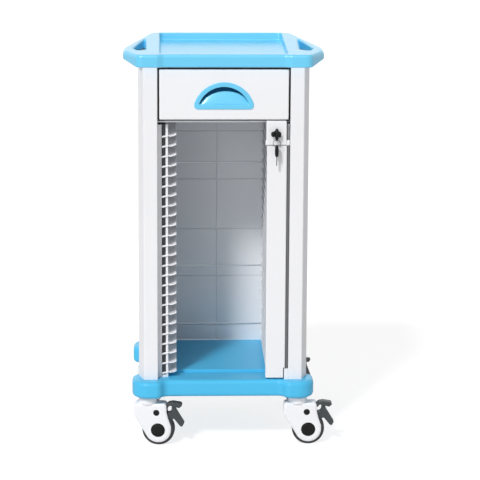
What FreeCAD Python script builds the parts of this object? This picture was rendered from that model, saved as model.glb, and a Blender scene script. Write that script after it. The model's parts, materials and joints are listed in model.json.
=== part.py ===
"""Medical chart rack: a trolley with a column of chart ledges, a drawer, a lock bar and four castors.

Frame: +Z up, +X to the right when facing the open front, -Y towards the user. The origin lies on
the floor, midway between the four castor pivots. All sizes are millimetres.
"""
import FreeCAD, Part
import os
import re

import Sketcher
from FreeCAD import Placement, Rotation, Vector

doc = FreeCAD.newDocument("ChartRack")

# Driving dimensions: alias, value. Every piece below is bound to these cells.
SIZES = {
    # base board
    "base_half_width": 229.0,
    "base_half_depth": 214.0,
    "base_bottom": 127.0,
    "base_top": 170.0,
    "base_skin": 10.0,
    "lobe_width": 68.0,
    "lobe_step_front": 22.0,
    "lobe_step_side": 18.0,
    "lobe_ramp": 12.0,
    "deck_half_width": 136.0,
    "deck_front": -112.0,
    "deck_rear": 178.0,
    "deck_top": 176.0,
    # corner columns
    "column_inner": 164.0,
    "column_face": 198.5,
    "column_outer": 212.0,
    "column_front": 184.0,
    "column_facet": 146.0,
    "column_rear": 124.0,
    "column_wall": 2.5,
    "column_top": 964.0,
    # panels
    "side_panel_outer": 207.0,
    "side_panel_skin": 4.0,
    "back_panel_front": 179.0,
    "back_panel_skin": 4.0,
    "groove_first": 217.8,
    "groove_pitch": 131.0,
    "groove_count": 5.0,
    "groove_width": 2.6,
    "groove_depth": 1.6,
    "groove_middle": -10.0,
    # chart ledges
    "ledge_first": 186.9,
    "ledge_pitch": 25.3,
    "ledge_count": 25.0,
    "left_ledge_tip": 117.0,
    "right_ledge_tip": 109.0,
    "ledge_skin": 2.6,
    "ledge_lip": 1.6,
    "ledge_sag": 1.4,
    "rack_inner": 138.0,
    "rack_outer": 144.0,
    "rack_front": -158.0,
    "rack_rear": 176.0,
    "rack_top": 818.0,
    "strip_inner": 154.0,
    "fin_height": 9.0,
    "flange_front": 140.0,
    "flange_rear": 146.0,
    # drawer
    "drawer_half": 160.0,
    "drawer_low": 834.7,
    "drawer_high": 961.5,
    "drawer_front_skin": 18.0,
    "box_half": 150.0,
    "box_wall": 2.5,
    "box_low": 842.0,
    "box_high": 940.0,
    "box_rear": 150.0,
    "slide_low": 868.0,
    "slide_high": 908.0,
    "slide_skin": 2.0,
    "slide_play": 0.8,
    "shelf_low": 824.0,
    "shelf_high": 827.0,
    "shelf_front": -157.5,
    # drawer pull
    "pull_half": 73.5,
    "pull_low": 860.6,
    "pull_high": 928.0,
    "pull_shoulder": 54.0,
    "pull_rim": 7.5,
    "pull_proud": 2.5,
    "pull_deep": 13.0,
    "pull_gap": 0.4,
    # top tray
    "tray_top": 999.0,
    "tray_bottom": 967.0,
    "handle_bottom": 975.0,
    "tray_front": 202.0,
    "tray_corner_proud": 6.0,
    "tray_half": 216.0,
    "handle_half": 249.0,
    "recess_half": 158.0,
    "recess_front": 180.0,
    "recess_rear": 190.0,
    "recess_floor": 979.0,
    "tray_skin": 4.0,
    # lock bar
    "bar_left": 107.0,
    "bar_right": 156.0,
    "bar_notch": 152.0,
    "bar_low": 174.0,
    "bar_high": 771.0,
    "bar_depth": 20.0,
    "bar_wall": 2.0,
    "bracket_high": 198.0,
    "hinge_x": 160.2,
    "hinge_y": -181.0,
    "knuckle_radius": 3.2,
    "hinge_pin_radius": 1.6,
    "fit_gap": 0.06,
    "block_left": 105.0,
    "block_right": 155.0,
    "block_high": 831.5,
    "block_proud": 1.5,
    "ear_height": 12.5,
    "lock_x": 130.0,
    "lock_z": 800.0,
    "lock_radius": 8.0,
    "plug_radius": 5.5,
    "cam_reach": 17.0,
    # keys
    "bow_length": 29.0,
    "bow_thick": 9.5,
    "bow_deep": 16.0,
    "ring_radius": 9.0,
    "ring_wire": 0.65,
    "ring_y": -201.0,
    "ring_top": 787.0,
    "lug_thick": 2.4,
    # castors
    "castor_x": 189.5,
    "castor_y": 174.5,
    "castor_trail": 27.0,
    "wheel_radius": 41.0,
    "core_radius": 30.0,
    "wheel_half": 13.0,
    "fork_half": 19.0,
    "fork_slot": 15.0,
    "fork_top": 110.0,
    "cover_radius": 35.5,
    "collar_radius": 24.0,
    "collar_top": 124.0,
    "stem_radius": 6.0,
    "stem_top": 156.0,
    "boss_radius": 13.0,
    "axle_radius": 4.0,
    "cap_radius": 17.5,
    "pivot_x": 23.0,
    "pivot_z": 86.5,
    "pivot_radius": 3.0,
    "pivot_cap_radius": 7.8,
    "pedal_half": 11.0,
    # fasteners
    "rod_x": 188.0,
    "rod_y": 150.0,
    "rod_radius": 4.0,
    "screw_radius": 2.0,
    "screw_head": 4.0,
}

sheet = doc.addObject("Spreadsheet::Sheet", "Sizes")
for row, (alias, number) in enumerate(SIZES.items(), start=1):
    sheet.set(f"A{row}", alias)
    sheet.set(f"B{row}", str(number))
    sheet.setAlias(f"B{row}", alias)
doc.recompute()

PARTS = []


def ex(text):
    """The expression with every size written as a cell of the sheet."""

    def cell(word):
        name = word.group(0)
        return f"Sizes.{name}" if name in SIZES else name

    return re.sub(r"[a-z_]+", cell, str(text))


def val(text):
    """The present value of an expression, in millimetres."""
    answer = sheet.evalExpression(ex(text))
    return float(getattr(answer, "Value", answer))


def keep(piece, label):
    """Mark an object as a finished sub-part under its own name."""
    piece.Label = label
    PARTS.append(piece)
    return piece


# ---------------------------------------------------------------- Part primitives and booleans


def box(name, x, y, z):
    """A box between three pairs of expressions."""
    solid = doc.addObject("Part::Box", name)
    for side, axis, (low, high) in zip(("Length", "Width", "Height"), "xyz", (x, y, z)):
        solid.setExpression(side, ex(f"({high}) - ({low})"))
        solid.setExpression(f"Placement.Base.{axis}", ex(low))
    return solid


TURNS = {"x": Rotation(Vector(0, 1, 0), 90), "y": Rotation(Vector(1, 0, 0), -90), "z": Rotation()}


def rod(name, axis, at, span, radius):
    """A round bar along an axis, through the two other coordinates, between the span's ends."""
    solid = doc.addObject("Part::Cylinder", name)
    solid.Placement = Placement(Vector(), TURNS[axis])
    place = dict(zip([other for other in "xyz" if other != axis], at))
    place[axis] = span[0]
    for letter, text in place.items():
        solid.setExpression(f"Placement.Base.{letter}", ex(text))
    solid.setExpression("Height", ex(f"({span[1]}) - ({span[0]})"))
    solid.setExpression("Radius", ex(radius))
    return solid


def fuse(name, solids):
    """One solid of several that meet or overlap."""
    joined = doc.addObject("Part::MultiFuse", name)
    joined.Shapes = solids
    joined.Refine = True
    return joined


def cut(name, base, tools):
    """The base less each tool."""
    tool = tools[0] if len(tools) == 1 else fuse(name + "_tools", tools)
    less = doc.addObject("Part::Cut", name)
    less.Base = base
    less.Tool = tool
    return less


def group(name, solids):
    """Separate solids of one kind, kept apart under one name."""
    several = doc.addObject("Part::Compound", name)
    several.Links = solids
    return several


def rounded(name, base, radius, choose):
    """The base with the chosen edges rounded."""
    doc.recompute()
    edges = [n for n, edge in enumerate(base.Shape.Edges, start=1) if choose(edge)]
    soft = doc.addObject("Part::Fillet", name)
    soft.Base = base
    soft.Edges = [(n, val(radius), val(radius)) for n in edges]
    return soft


# ---------------------------------------------------------------- PartDesign bodies

ORIGIN = (-1, 1)


class Piece:
    """A PartDesign body built up from sketches on its own origin planes."""

    def __init__(self, name):
        self.name = name
        self.count = 0
        self.body = doc.addObject("PartDesign::Body", name)
        self.body.AllowCompound = True

    def role(self, role):
        return next(feature for feature in self.body.Origin.OriginFeatures if feature.Role == role)

    def feature(self, kind):
        self.count += 1
        return self.body.newObject(kind, f"{self.name}_{kind.split('::')[1].lower()}{self.count}")

    def sketch(self, plane="XY_Plane", height="0"):
        """A sketch on an origin plane, lifted along that plane's normal."""
        sketch = self.feature("Sketcher::SketchObject")
        sketch.AttachmentSupport = (self.role(plane), [""])
        sketch.MapMode = "FlatFace"
        sketch.setExpression("AttachmentOffset.Base.z", ex(height))
        return sketch

    def extrude(self, kind, sketch, length, both=False, reverse=False):
        feature = self.feature(kind)
        feature.Profile = sketch
        feature.setExpression("Length", ex(length))
        feature.Reversed = reverse
        if hasattr(feature, "SideType"):
            feature.SideType = "Symmetric" if both else "One side"
        else:
            feature.Midplane = both
        return self.checked(feature)

    def checked(self, feature):
        """Recompute, and stop at a feature that failed."""
        doc.recompute()
        if not feature.isValid():
            raise RuntimeError(f"{feature.Name} failed")
        return feature

    def pad(self, sketch, length, both=False, reverse=False):
        return self.extrude("PartDesign::Pad", sketch, length, both, reverse)

    def pocket(self, sketch, length, both=False, reverse=False):
        """Cut the sketch away and make sure that it met material."""
        before = self.body.Shape.Volume
        feature = self.extrude("PartDesign::Pocket", sketch, length, both, reverse)
        if self.body.Shape.Volume > before - 1.0:
            raise RuntimeError(f"a pocket of {self.name} cuts nothing")
        return feature

    def pattern(self, feature, axis, length, count):
        """Repeat a feature along an origin axis."""
        repeat = self.feature("PartDesign::LinearPattern")
        repeat.Originals = [feature]
        repeat.Direction = (self.role(axis), [""])
        repeat.setExpression("Length", ex(length))
        repeat.setExpression("Occurrences", ex(count))
        self.body.Tip = repeat
        return self.checked(repeat)

    def fillet(self, radius, choose):
        """Round the edges that the test chooses."""
        edges = [f"Edge{n}" for n, edge in enumerate(self.body.Shape.Edges, start=1) if choose(edge)]
        if not edges:
            raise RuntimeError(f"a fillet of {self.name} finds no edge")
        base = self.body.Tip
        soft = self.feature("PartDesign::Fillet")
        soft.Base = (base, edges)
        soft.setExpression("Radius", ex(radius))
        return self.checked(soft)

    def done(self, label=None):
        return keep(self.body, label or self.name)


def polygon(sketch, points, close=True):
    """Straight lines through points given as pairs of expressions, each held from the origin."""
    spots = [Vector(val(x), val(y), 0) for x, y in points]
    ends = spots[1:] + spots[:1] if close else spots[1:]
    first = sketch.GeometryCount
    for start, end in zip(spots, ends):
        sketch.addGeometry(Part.LineSegment(start, end), False)
    lines = len(ends)
    for n in range(lines if close else lines - 1):
        sketch.addConstraint(Sketcher.Constraint("Coincident", first + n, 2, first + (n + 1) % lines, 1))
    for n, (x, y) in enumerate(points):
        line, end = (first + n, 1) if n < lines else (first + lines - 1, 2)
        for kind, text in (("DistanceX", x), ("DistanceY", y)):
            index = sketch.addConstraint(Sketcher.Constraint(kind, *ORIGIN, line, end, val(text)))
            sketch.setExpression(f"Constraints[{index}]", ex(text))


def rectangle(sketch, x, y):
    """A rectangle between two pairs of expressions."""
    polygon(sketch, [(x[0], y[0]), (x[1], y[0]), (x[1], y[1]), (x[0], y[1])])


def circle(sketch, x, y, radius):
    """A circle held by its centre and radius."""
    index = sketch.addGeometry(Part.Circle(Vector(val(x), val(y), 0), Vector(0, 0, 1), val(radius)), False)
    holds = (
        (Sketcher.Constraint("Radius", index, val(radius)), radius),
        (Sketcher.Constraint("DistanceX", *ORIGIN, index, 3, val(x)), x),
        (Sketcher.Constraint("DistanceY", *ORIGIN, index, 3, val(y)), y),
    )
    for constraint, text in holds:
        number = sketch.addConstraint(constraint)
        sketch.setExpression(f"Constraints[{number}]", ex(text))


def upright(edge):
    """True for a straight edge along Z."""
    low, high = edge.BoundBox.ZMin, edge.BoundBox.ZMax
    return high - low > 1.0 and edge.BoundBox.XLength < 0.01 and edge.BoundBox.YLength < 0.01


def level(edge, height, slack=0.05):
    """True for an edge that lies at one height."""
    return abs(edge.BoundBox.ZMin - height) < slack and abs(edge.BoundBox.ZMax - height) < slack


def mirrored(points):
    """Points of the right half, front to rear, closed by their mirror images on the left."""
    return points + [(f"-({x})", y) for x, y in reversed(points)]


# ---------------------------------------------------------------- base and frame


def base_board():
    """Blue moulded base: a board with four lobed corners, a low deck, and a hollow underside."""
    board = Piece("base_tray")
    waist_x = "base_half_width - lobe_step_side"
    waist_y = "base_half_depth - lobe_step_front"
    lobe_x = "base_half_width - lobe_width"
    lobe_y = "base_half_depth - lobe_width - lobe_ramp"
    quarter = [
        (f"{lobe_x} - lobe_ramp", waist_y),
        (lobe_x, "base_half_depth"),
        ("base_half_width", "base_half_depth"),
        ("base_half_width", lobe_y),
        (waist_x, f"{lobe_y} - lobe_ramp"),
    ]
    right = [(x, f"-({y})") for x, y in quarter] + list(reversed(quarter))
    outline = board.sketch(height="base_bottom")
    polygon(outline, mirrored(right))
    board.pad(outline, "base_top - base_bottom")
    corner_x = val("base_half_width")
    corner_y = val("base_half_depth")

    def outer_corner(edge):
        box_ = edge.BoundBox
        return upright(edge) and abs(abs(box_.XMin) - corner_x) < 0.1 and abs(abs(box_.YMin) - corner_y) < 0.1

    board.fillet("lobe_width - 26", outer_corner)
    board.fillet("lobe_ramp", lambda edge: upright(edge) and edge.Length > 40.0)
    hollow = board.sketch(height="base_bottom")
    rectangle(hollow, (f"12 - ({waist_x})", f"{waist_x} - 12"), (f"12 - ({waist_y})", f"{waist_y} - 12"))
    board.pocket(hollow, "base_top - base_skin - base_bottom", reverse=True)
    for right_side in (-1, 1):
        for rear_side in (-1, 1):
            seat = board.sketch(height="base_bottom")
            circle(seat, f"{right_side} * castor_x", f"{rear_side} * castor_y", "collar_radius")
            board.pocket(seat, "base_top - base_skin - base_bottom", reverse=True)
            hole = board.sketch(height="base_bottom")
            circle(hole, f"{right_side} * rod_x", f"{rear_side} * rod_y", "rod_radius + 0.4")
            board.pocket(hole, "base_top - base_bottom + 1", reverse=True)
    deck = board.sketch(height="base_top - 1")
    rectangle(deck, ("-deck_half_width", "deck_half_width"), ("deck_front", "deck_rear"))
    board.pad(deck, "deck_top - base_top + 1")
    top = val("base_top")
    waist = val("column_outer") - 14.0

    def rim(edge, height):
        middle = edge.BoundBox.Center
        return level(edge, height) and (abs(middle.x) > waist or abs(middle.y) > val(waist_y) - 3.0)

    board.fillet("8", lambda edge: rim(edge, top))
    board.fillet("5", lambda edge: rim(edge, val("base_bottom")) and not_inner(edge))
    board.fillet("3.5", lambda edge: level(edge, val("deck_top")))
    board.done()


def not_inner(edge):
    """True for edges of the base outside its hollow underside."""
    inside_x = val("base_half_width - lobe_step_side - 3")
    inside_y = val("base_half_depth - lobe_step_front - 3")
    middle = edge.BoundBox.Center
    seat = min(
        (Vector(middle.x, middle.y, 0) - Vector(sx * val("castor_x"), sy * val("castor_y"), 0)).Length
        for sx in (-1, 1)
        for sy in (-1, 1)
    )
    return (abs(middle.x) > inside_x or abs(middle.y) > inside_y) and seat > 4.0 and not seat_rim(edge)


def seat_rim(edge):
    """True for the rounded rims of the four castor seats."""
    curve = edge.Curve
    return isinstance(curve, Part.Circle) and abs(curve.Radius - val("collar_radius")) < 0.1


def base_frame():
    """Steel plate ring inside the base, with a boss at each corner that holds a castor stem."""
    outer = box("frame_plate", ("-196", "196"), ("-178", "178"), ("base_bottom", "base_bottom + 3"))
    window = box("frame_window", ("-140", "140"), ("-120", "120"), ("base_bottom - 1", "base_bottom + 4"))
    solids = []
    bores = [window]
    for n, (sx, sy) in enumerate(CORNERS):
        at = (f"{sx} * castor_x", f"{sy} * castor_y")
        solids.append(rod(f"frame_pad{n}", "z", at, ("base_bottom", "base_bottom + 3"), "collar_radius - 1"))
        solids.append(rod(f"frame_boss{n}", "z", at, ("base_bottom", "base_top - base_skin"), "boss_radius"))
        bores.append(rod(f"frame_bore{n}", "z", at, ("base_bottom - 1", "base_top"), "stem_radius + fit_gap"))
    keep(cut("base_frame_cut", fuse("base_frame_solid", [outer] + solids), bores), "base_frame")


CORNERS = ((-1, -1), (1, -1), (-1, 1), (1, 1))
CORNER_NAMES = {(-1, -1): "front_left", (1, -1): "front_right", (-1, 1): "rear_left", (1, 1): "rear_right"}


def column(sx, sy):
    """Hollow extruded corner post with a slanted outer face."""
    post = Piece(f"{CORNER_NAMES[sx, sy]}_column")
    wall = "column_wall"
    shapes = (
        (
            ("column_inner", "column_front"),
            ("column_face", "column_front"),
            ("column_outer", "column_facet"),
            ("column_outer", "column_rear"),
            ("column_inner", "column_rear"),
        ),
        (
            (f"column_inner + {wall}", f"column_front - {wall}"),
            (f"column_face - 0.7 * {wall}", f"column_front - {wall}"),
            (f"column_outer - {wall}", f"column_facet - 0.2 * {wall}"),
            (f"column_outer - {wall}", f"column_rear + {wall}"),
            (f"column_inner + {wall}", f"column_rear + {wall}"),
        ),
    )
    outer, inner = (post.sketch(height="base_top") for _ in shapes)
    polygon(outer, [(f"{sx} * ({x})", f"{sy} * ({y})") for x, y in shapes[0]])
    post.pad(outer, "column_top - base_top")
    polygon(inner, [(f"{sx} * ({x})", f"{sy} * ({y})") for x, y in shapes[1]])
    post.pocket(inner, "column_top - base_top", reverse=True)
    post.done()


def tie_rods():
    """Threaded rods inside the columns, from the base frame to nuts above the top frame."""
    solids = []
    for n, (sx, sy) in enumerate(CORNERS):
        at = (f"{sx} * rod_x", f"{sy} * rod_y")
        shank = rod(f"tie_shank{n}", "z", at, ("base_bottom + 3", "tray_bottom + 6"), "rod_radius")
        nut = doc.addObject("Part::Prism", f"tie_nut{n}")
        nut.Polygon = 6
        nut.Circumradius = 7.0
        nut.Height = 5.0
        for letter, text in zip("xyz", (*at, "tray_bottom")):
            nut.setExpression(f"Placement.Base.{letter}", ex(text))
        solids.append(fuse(f"tie_rod{n}", [shank, nut]))
    keep(group("tie_rod_group", solids), "column_tie_rods")


def top_frame():
    """Thin steel plate ring that ties the columns' tops together under the tray."""
    half_width = "column_outer - 2"
    half_depth = "column_front - 2"
    plate = box("top_plate", (f"-({half_width})", half_width), (f"-({half_depth})", half_depth),
                ("column_top", "tray_bottom"))
    through = ("column_top - 1", "tray_bottom + 1")
    window = box("top_window", ("-150", "150"), ("-120", "140"), through)
    waists = [
        box(f"top_waist{n}", x, ("-136", "116"), through)
        for n, x in enumerate((("-column_outer", "-182"), ("182", "column_outer")))
    ]
    notch = box("top_notch", ("-(column_inner - 1)", "column_inner - 1"), ("-column_front", "-150"), through)
    holes = [
        rod(f"top_hole{n}", "z", (f"{sx} * rod_x", f"{sy} * rod_y"), through, "rod_radius + 0.3")
        for n, (sx, sy) in enumerate(CORNERS)
    ]
    keep(cut("top_frame_cut", plate, [window, notch] + waists + holes), "top_frame")


def side_panel(sx, name):
    """Plain panel between the front and rear columns."""
    panel = Piece(name)
    outline = panel.sketch("YZ_Plane", height=f"{sx} * (side_panel_outer - side_panel_skin / 2)")
    rectangle(outline, ("-column_rear", "column_rear"), ("base_top", "column_top"))
    panel.pad(outline, "side_panel_skin", both=True)
    panel.done()


def back_panel():
    """Rear panel with a grid of shallow grooves on the side that faces the charts."""
    panel = Piece("back_panel")
    outline = panel.sketch("XZ_Plane", height="-(back_panel_front + back_panel_skin)")
    rectangle(outline, ("-column_inner", "column_inner"), ("deck_top", "column_top"))
    panel.pad(outline, "back_panel_skin")
    upright_groove = panel.sketch("XZ_Plane", height="-back_panel_front")
    rectangle(upright_groove, ("groove_middle - groove_width / 2", "groove_middle + groove_width / 2"),
              ("deck_top + 1", "column_top - 1"))
    panel.pocket(upright_groove, "groove_depth")
    groove = panel.sketch("XZ_Plane", height="-back_panel_front")
    rectangle(groove, ("1 - column_inner", "column_inner - 1"),
              ("groove_first", "groove_first + groove_width"))
    first = panel.pocket(groove, "groove_depth")
    panel.pattern(first, "Z_Axis", "groove_pitch * (groove_count - 1)", "groove_count")
    panel.done()


# ---------------------------------------------------------------- chart racks


def rack(sx, side):
    """One side's chart rack: a full-depth plate, its ledges, and the ladder-like front edge."""
    plate = Piece(f"{side}_rack_plate")
    outline = plate.sketch(height="base_top")
    polygon(outline, [
        (f"{sx} * rack_inner", "rack_front"),
        (f"{sx} * rack_outer", "rack_front"),
        (f"{sx} * rack_outer", "flange_front"),
        (f"{sx} * column_inner", "flange_front"),
        (f"{sx} * column_inner", "flange_rear"),
        (f"{sx} * rack_outer", "flange_rear"),
        (f"{sx} * rack_outer", "rack_rear"),
        (f"{sx} * rack_inner", "rack_rear"),
    ])
    plate.pad(outline, "rack_top - base_top")
    plate.done()

    ledges = Piece(f"{side}_chart_ledges")
    profile = ledges.sketch("XZ_Plane", height="-(rack_front + rack_rear) / 2")
    middle = f"(rack_inner + {side}_ledge_tip) / 2"
    polygon(profile, [
        (f"{sx} * rack_inner", "ledge_first"),
        (f"{sx} * ({middle} + 4)", "ledge_first - ledge_sag"),
        (f"{sx} * ({middle} - 4)", "ledge_first - ledge_sag"),
        (f"{sx} * ({side}_ledge_tip + 2)", "ledge_first + ledge_lip"),
        (f"{sx} * {side}_ledge_tip", "ledge_first + ledge_lip"),
        (f"{sx} * {side}_ledge_tip", "ledge_first - ledge_skin / 2"),
        (f"{sx} * ({middle} - 5)", "ledge_first - ledge_sag - ledge_skin"),
        (f"{sx} * ({middle} + 5)", "ledge_first - ledge_sag - ledge_skin"),
        (f"{sx} * rack_inner", "ledge_first - ledge_skin"),
    ])
    first = ledges.pad(profile, "rack_rear - rack_front", both=True)
    ledges.pattern(first, "Z_Axis", "ledge_pitch * (ledge_count - 1)", "ledge_count")
    ledges.done()

    edge = Piece(f"{side}_rack_edge")
    strip = edge.sketch(height="base_top")
    rectangle(strip, (f"{sx} * strip_inner", f"{sx} * column_inner"), ("rack_front - 3", "rack_front + 7"))
    edge.pad(strip, "rack_top - base_top")
    fin = edge.sketch(height="ledge_first - 6")
    rectangle(fin, (f"{sx} * rack_outer", f"{sx} * (strip_inner + 1)"), ("rack_front - 1", "rack_front + 5"))
    first_fin = edge.pad(fin, "fin_height")
    edge.pattern(first_fin, "Z_Axis", "ledge_pitch * (ledge_count - 1)", "ledge_count")
    foot = edge.sketch(height="base_top")
    rectangle(foot, (f"{sx} * rack_outer", f"{sx} * (strip_inner + 1)"), ("rack_front - 1", "rack_front + 5"))
    edge.pad(foot, "6")
    edge.done()


# ---------------------------------------------------------------- drawer


def drawer():
    """Drawer box, moulded front, inset pull, and the two telescopic slides."""
    shelf = box("shelf", ("-column_inner", "column_inner"), ("shelf_front", "back_panel_front"),
                ("shelf_low", "shelf_high"))
    keep(shelf, "drawer_shelf")

    shell = Piece("drawer_box")
    floor = shell.sketch(height="box_low")
    front = "-(column_front - drawer_front_skin)"
    rectangle(floor, ("-box_half", "box_half"), (front, "box_rear"))
    shell.pad(floor, "box_high - box_low")
    inside = shell.sketch(height="box_low + box_wall")
    rectangle(inside, ("box_wall - box_half", "box_half - box_wall"),
              (f"{front} + box_wall", "box_rear - box_wall"))
    shell.pocket(inside, "box_high - box_low", reverse=True)
    shell.done()

    for sx, side in ((-1, "left"), (1, "right")):
        rail = Piece(f"{side}_slide_outer")
        profile = rail.sketch("XZ_Plane", height="0")
        lip = "column_inner - 11"
        skin = "slide_skin"
        polygon(profile, [
            (f"{sx} * column_inner", "slide_low"),
            (f"{sx} * column_inner", "slide_high"),
            (f"{sx} * ({lip})", "slide_high"),
            (f"{sx} * ({lip})", f"slide_high - {skin}"),
            (f"{sx} * (column_inner - {skin})", f"slide_high - {skin}"),
            (f"{sx} * (column_inner - {skin})", f"slide_low + {skin}"),
            (f"{sx} * ({lip})", f"slide_low + {skin}"),
            (f"{sx} * ({lip})", "slide_low"),
        ])
        rail.pad(profile, "300", both=True)
        rail.done()
        runner = box(
            f"{side}_runner",
            (f"{min(sx, 0)} * (column_inner - slide_skin - slide_play) + {max(sx, 0)} * box_half",
             f"{max(sx, 0)} * (column_inner - slide_skin - slide_play) + {min(sx, 0)} * box_half"),
            ("-150", "148"),
            ("slide_low + slide_skin + slide_play", "slide_high - slide_skin - slide_play"),
        )
        keep(runner, f"{side}_slide_inner")

    face = Piece("drawer_front")
    outline = face.sketch("XZ_Plane", height="column_front - drawer_front_skin")
    rectangle(outline, ("-drawer_half", "drawer_half"), ("drawer_low", "drawer_high"))
    face.pad(outline, "drawer_front_skin")
    opening = face.sketch("XZ_Plane", height="column_front")
    arch_outline(opening, "pull_rim / 2 - pull_gap")
    face.pocket(opening, "pull_deep + 2")
    front_y = -val("column_front")

    def face_edge(edge):
        box_ = edge.BoundBox
        flat = abs(box_.YMin - front_y) < 0.05 and abs(box_.YMax - front_y) < 0.05
        outer = abs(abs(box_.Center.x) - val("drawer_half")) < 0.5
        height = box_.Center.z
        return flat and (outer or height < val("drawer_low + 1") or height > val("drawer_high - 1"))

    face.fillet("2.5", face_edge)
    face.done()

    pull = Piece("drawer_pull")
    rim = pull.sketch("XZ_Plane", height="column_front")
    arch_outline(rim, "0")
    pull.pad(rim, "pull_proud")
    cup = pull.sketch("XZ_Plane", height="column_front")
    arch_outline(cup, "pull_rim / 2")
    pull.pad(cup, "pull_deep", reverse=True)
    mouth = pull.sketch("XZ_Plane", height="column_front + pull_proud")
    arch_outline(mouth, "pull_rim")
    pull.pocket(mouth, "pull_deep + pull_proud - 2.5")
    scoop = pull.sketch("YZ_Plane", height="0")
    back = "-(column_front - pull_deep)"
    polygon(scoop, [
        (back, "pull_low + pull_rim / 2 + 1"),
        (back, "pull_high - 38"),
        ("-(column_front - 3)", "pull_low + pull_rim + 16"),
        ("-column_front", "pull_low + pull_rim / 2 + 1"),
    ])
    pull.pad(scoop, "2 * (pull_half - pull_rim - 10)", both=True)
    pull.done()

    solids = []
    for n, (x, z) in enumerate(((-120, 855), (120, 855), (-120, 925), (120, 925))):
        shank = rod(f"screw_shank{n}", "y", (str(x), str(z)), ("-(column_front - drawer_front_skin) - 8",
                    "box_wall - (column_front - drawer_front_skin)"), "screw_radius")
        head = rod(f"screw_head{n}", "y", (str(x), str(z)), ("box_wall - (column_front - drawer_front_skin)",
                   "box_wall - (column_front - drawer_front_skin) + 2"), "screw_head")
        solids.append(fuse(f"front_screw{n}", [shank, head]))
    keep(group("front_screws", solids), "drawer_front_screws")


def arch_outline(sketch, inset):
    """The pull's outline: a flat foot, short upright sides and one arc over the top."""
    half = f"pull_half - ({inset})"
    low = f"pull_low + ({inset})"
    radius = f"(pull_half * pull_half + pull_shoulder * pull_shoulder) / (2 * pull_shoulder) - ({inset})"
    middle = f"pull_high - ({inset}) - ({radius})"
    reach = val(half)
    shoulder = val(middle) + (val(radius) ** 2 - reach ** 2) ** 0.5
    top = Vector(0, val(middle) + val(radius), 0)
    left, right = Vector(-reach, shoulder, 0), Vector(reach, shoulder, 0)
    foot_left, foot_right = Vector(-reach, val(low), 0), Vector(reach, val(low), 0)
    sketch.addGeometry(Part.LineSegment(foot_left, foot_right), False)
    sketch.addGeometry(Part.LineSegment(foot_right, right), False)
    sketch.addGeometry(Part.Arc(right, top, left), False)
    sketch.addGeometry(Part.LineSegment(left, foot_left), False)
    arc_start, arc_end = (1, 2) if sketch.Geometry[2].StartPoint.x > 0 else (2, 1)
    for ends in ((0, 2, 1, 1), (1, 2, 2, arc_start), (2, arc_end, 3, 1), (3, 2, 0, 1)):
        sketch.addConstraint(Sketcher.Constraint("Coincident", *ends))
    sketch.addConstraint(Sketcher.Constraint("Vertical", 1))
    sketch.addConstraint(Sketcher.Constraint("Vertical", 3))
    holds = (
        ("DistanceX", (*ORIGIN, 0, 1), f"-({half})"),
        ("DistanceY", (*ORIGIN, 0, 1), low),
        ("DistanceX", (*ORIGIN, 0, 2), half),
        ("DistanceY", (*ORIGIN, 0, 2), low),
        ("DistanceX", (*ORIGIN, 2, 3), "0"),
        ("DistanceY", (*ORIGIN, 2, 3), middle),
        ("Radius", (2,), radius),
    )
    for kind, ends, text in holds:
        number = sketch.addConstraint(Sketcher.Constraint(kind, *ends, val(text)))
        sketch.setExpression(f"Constraints[{number}]", ex(text))


# ---------------------------------------------------------------- top tray


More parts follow.
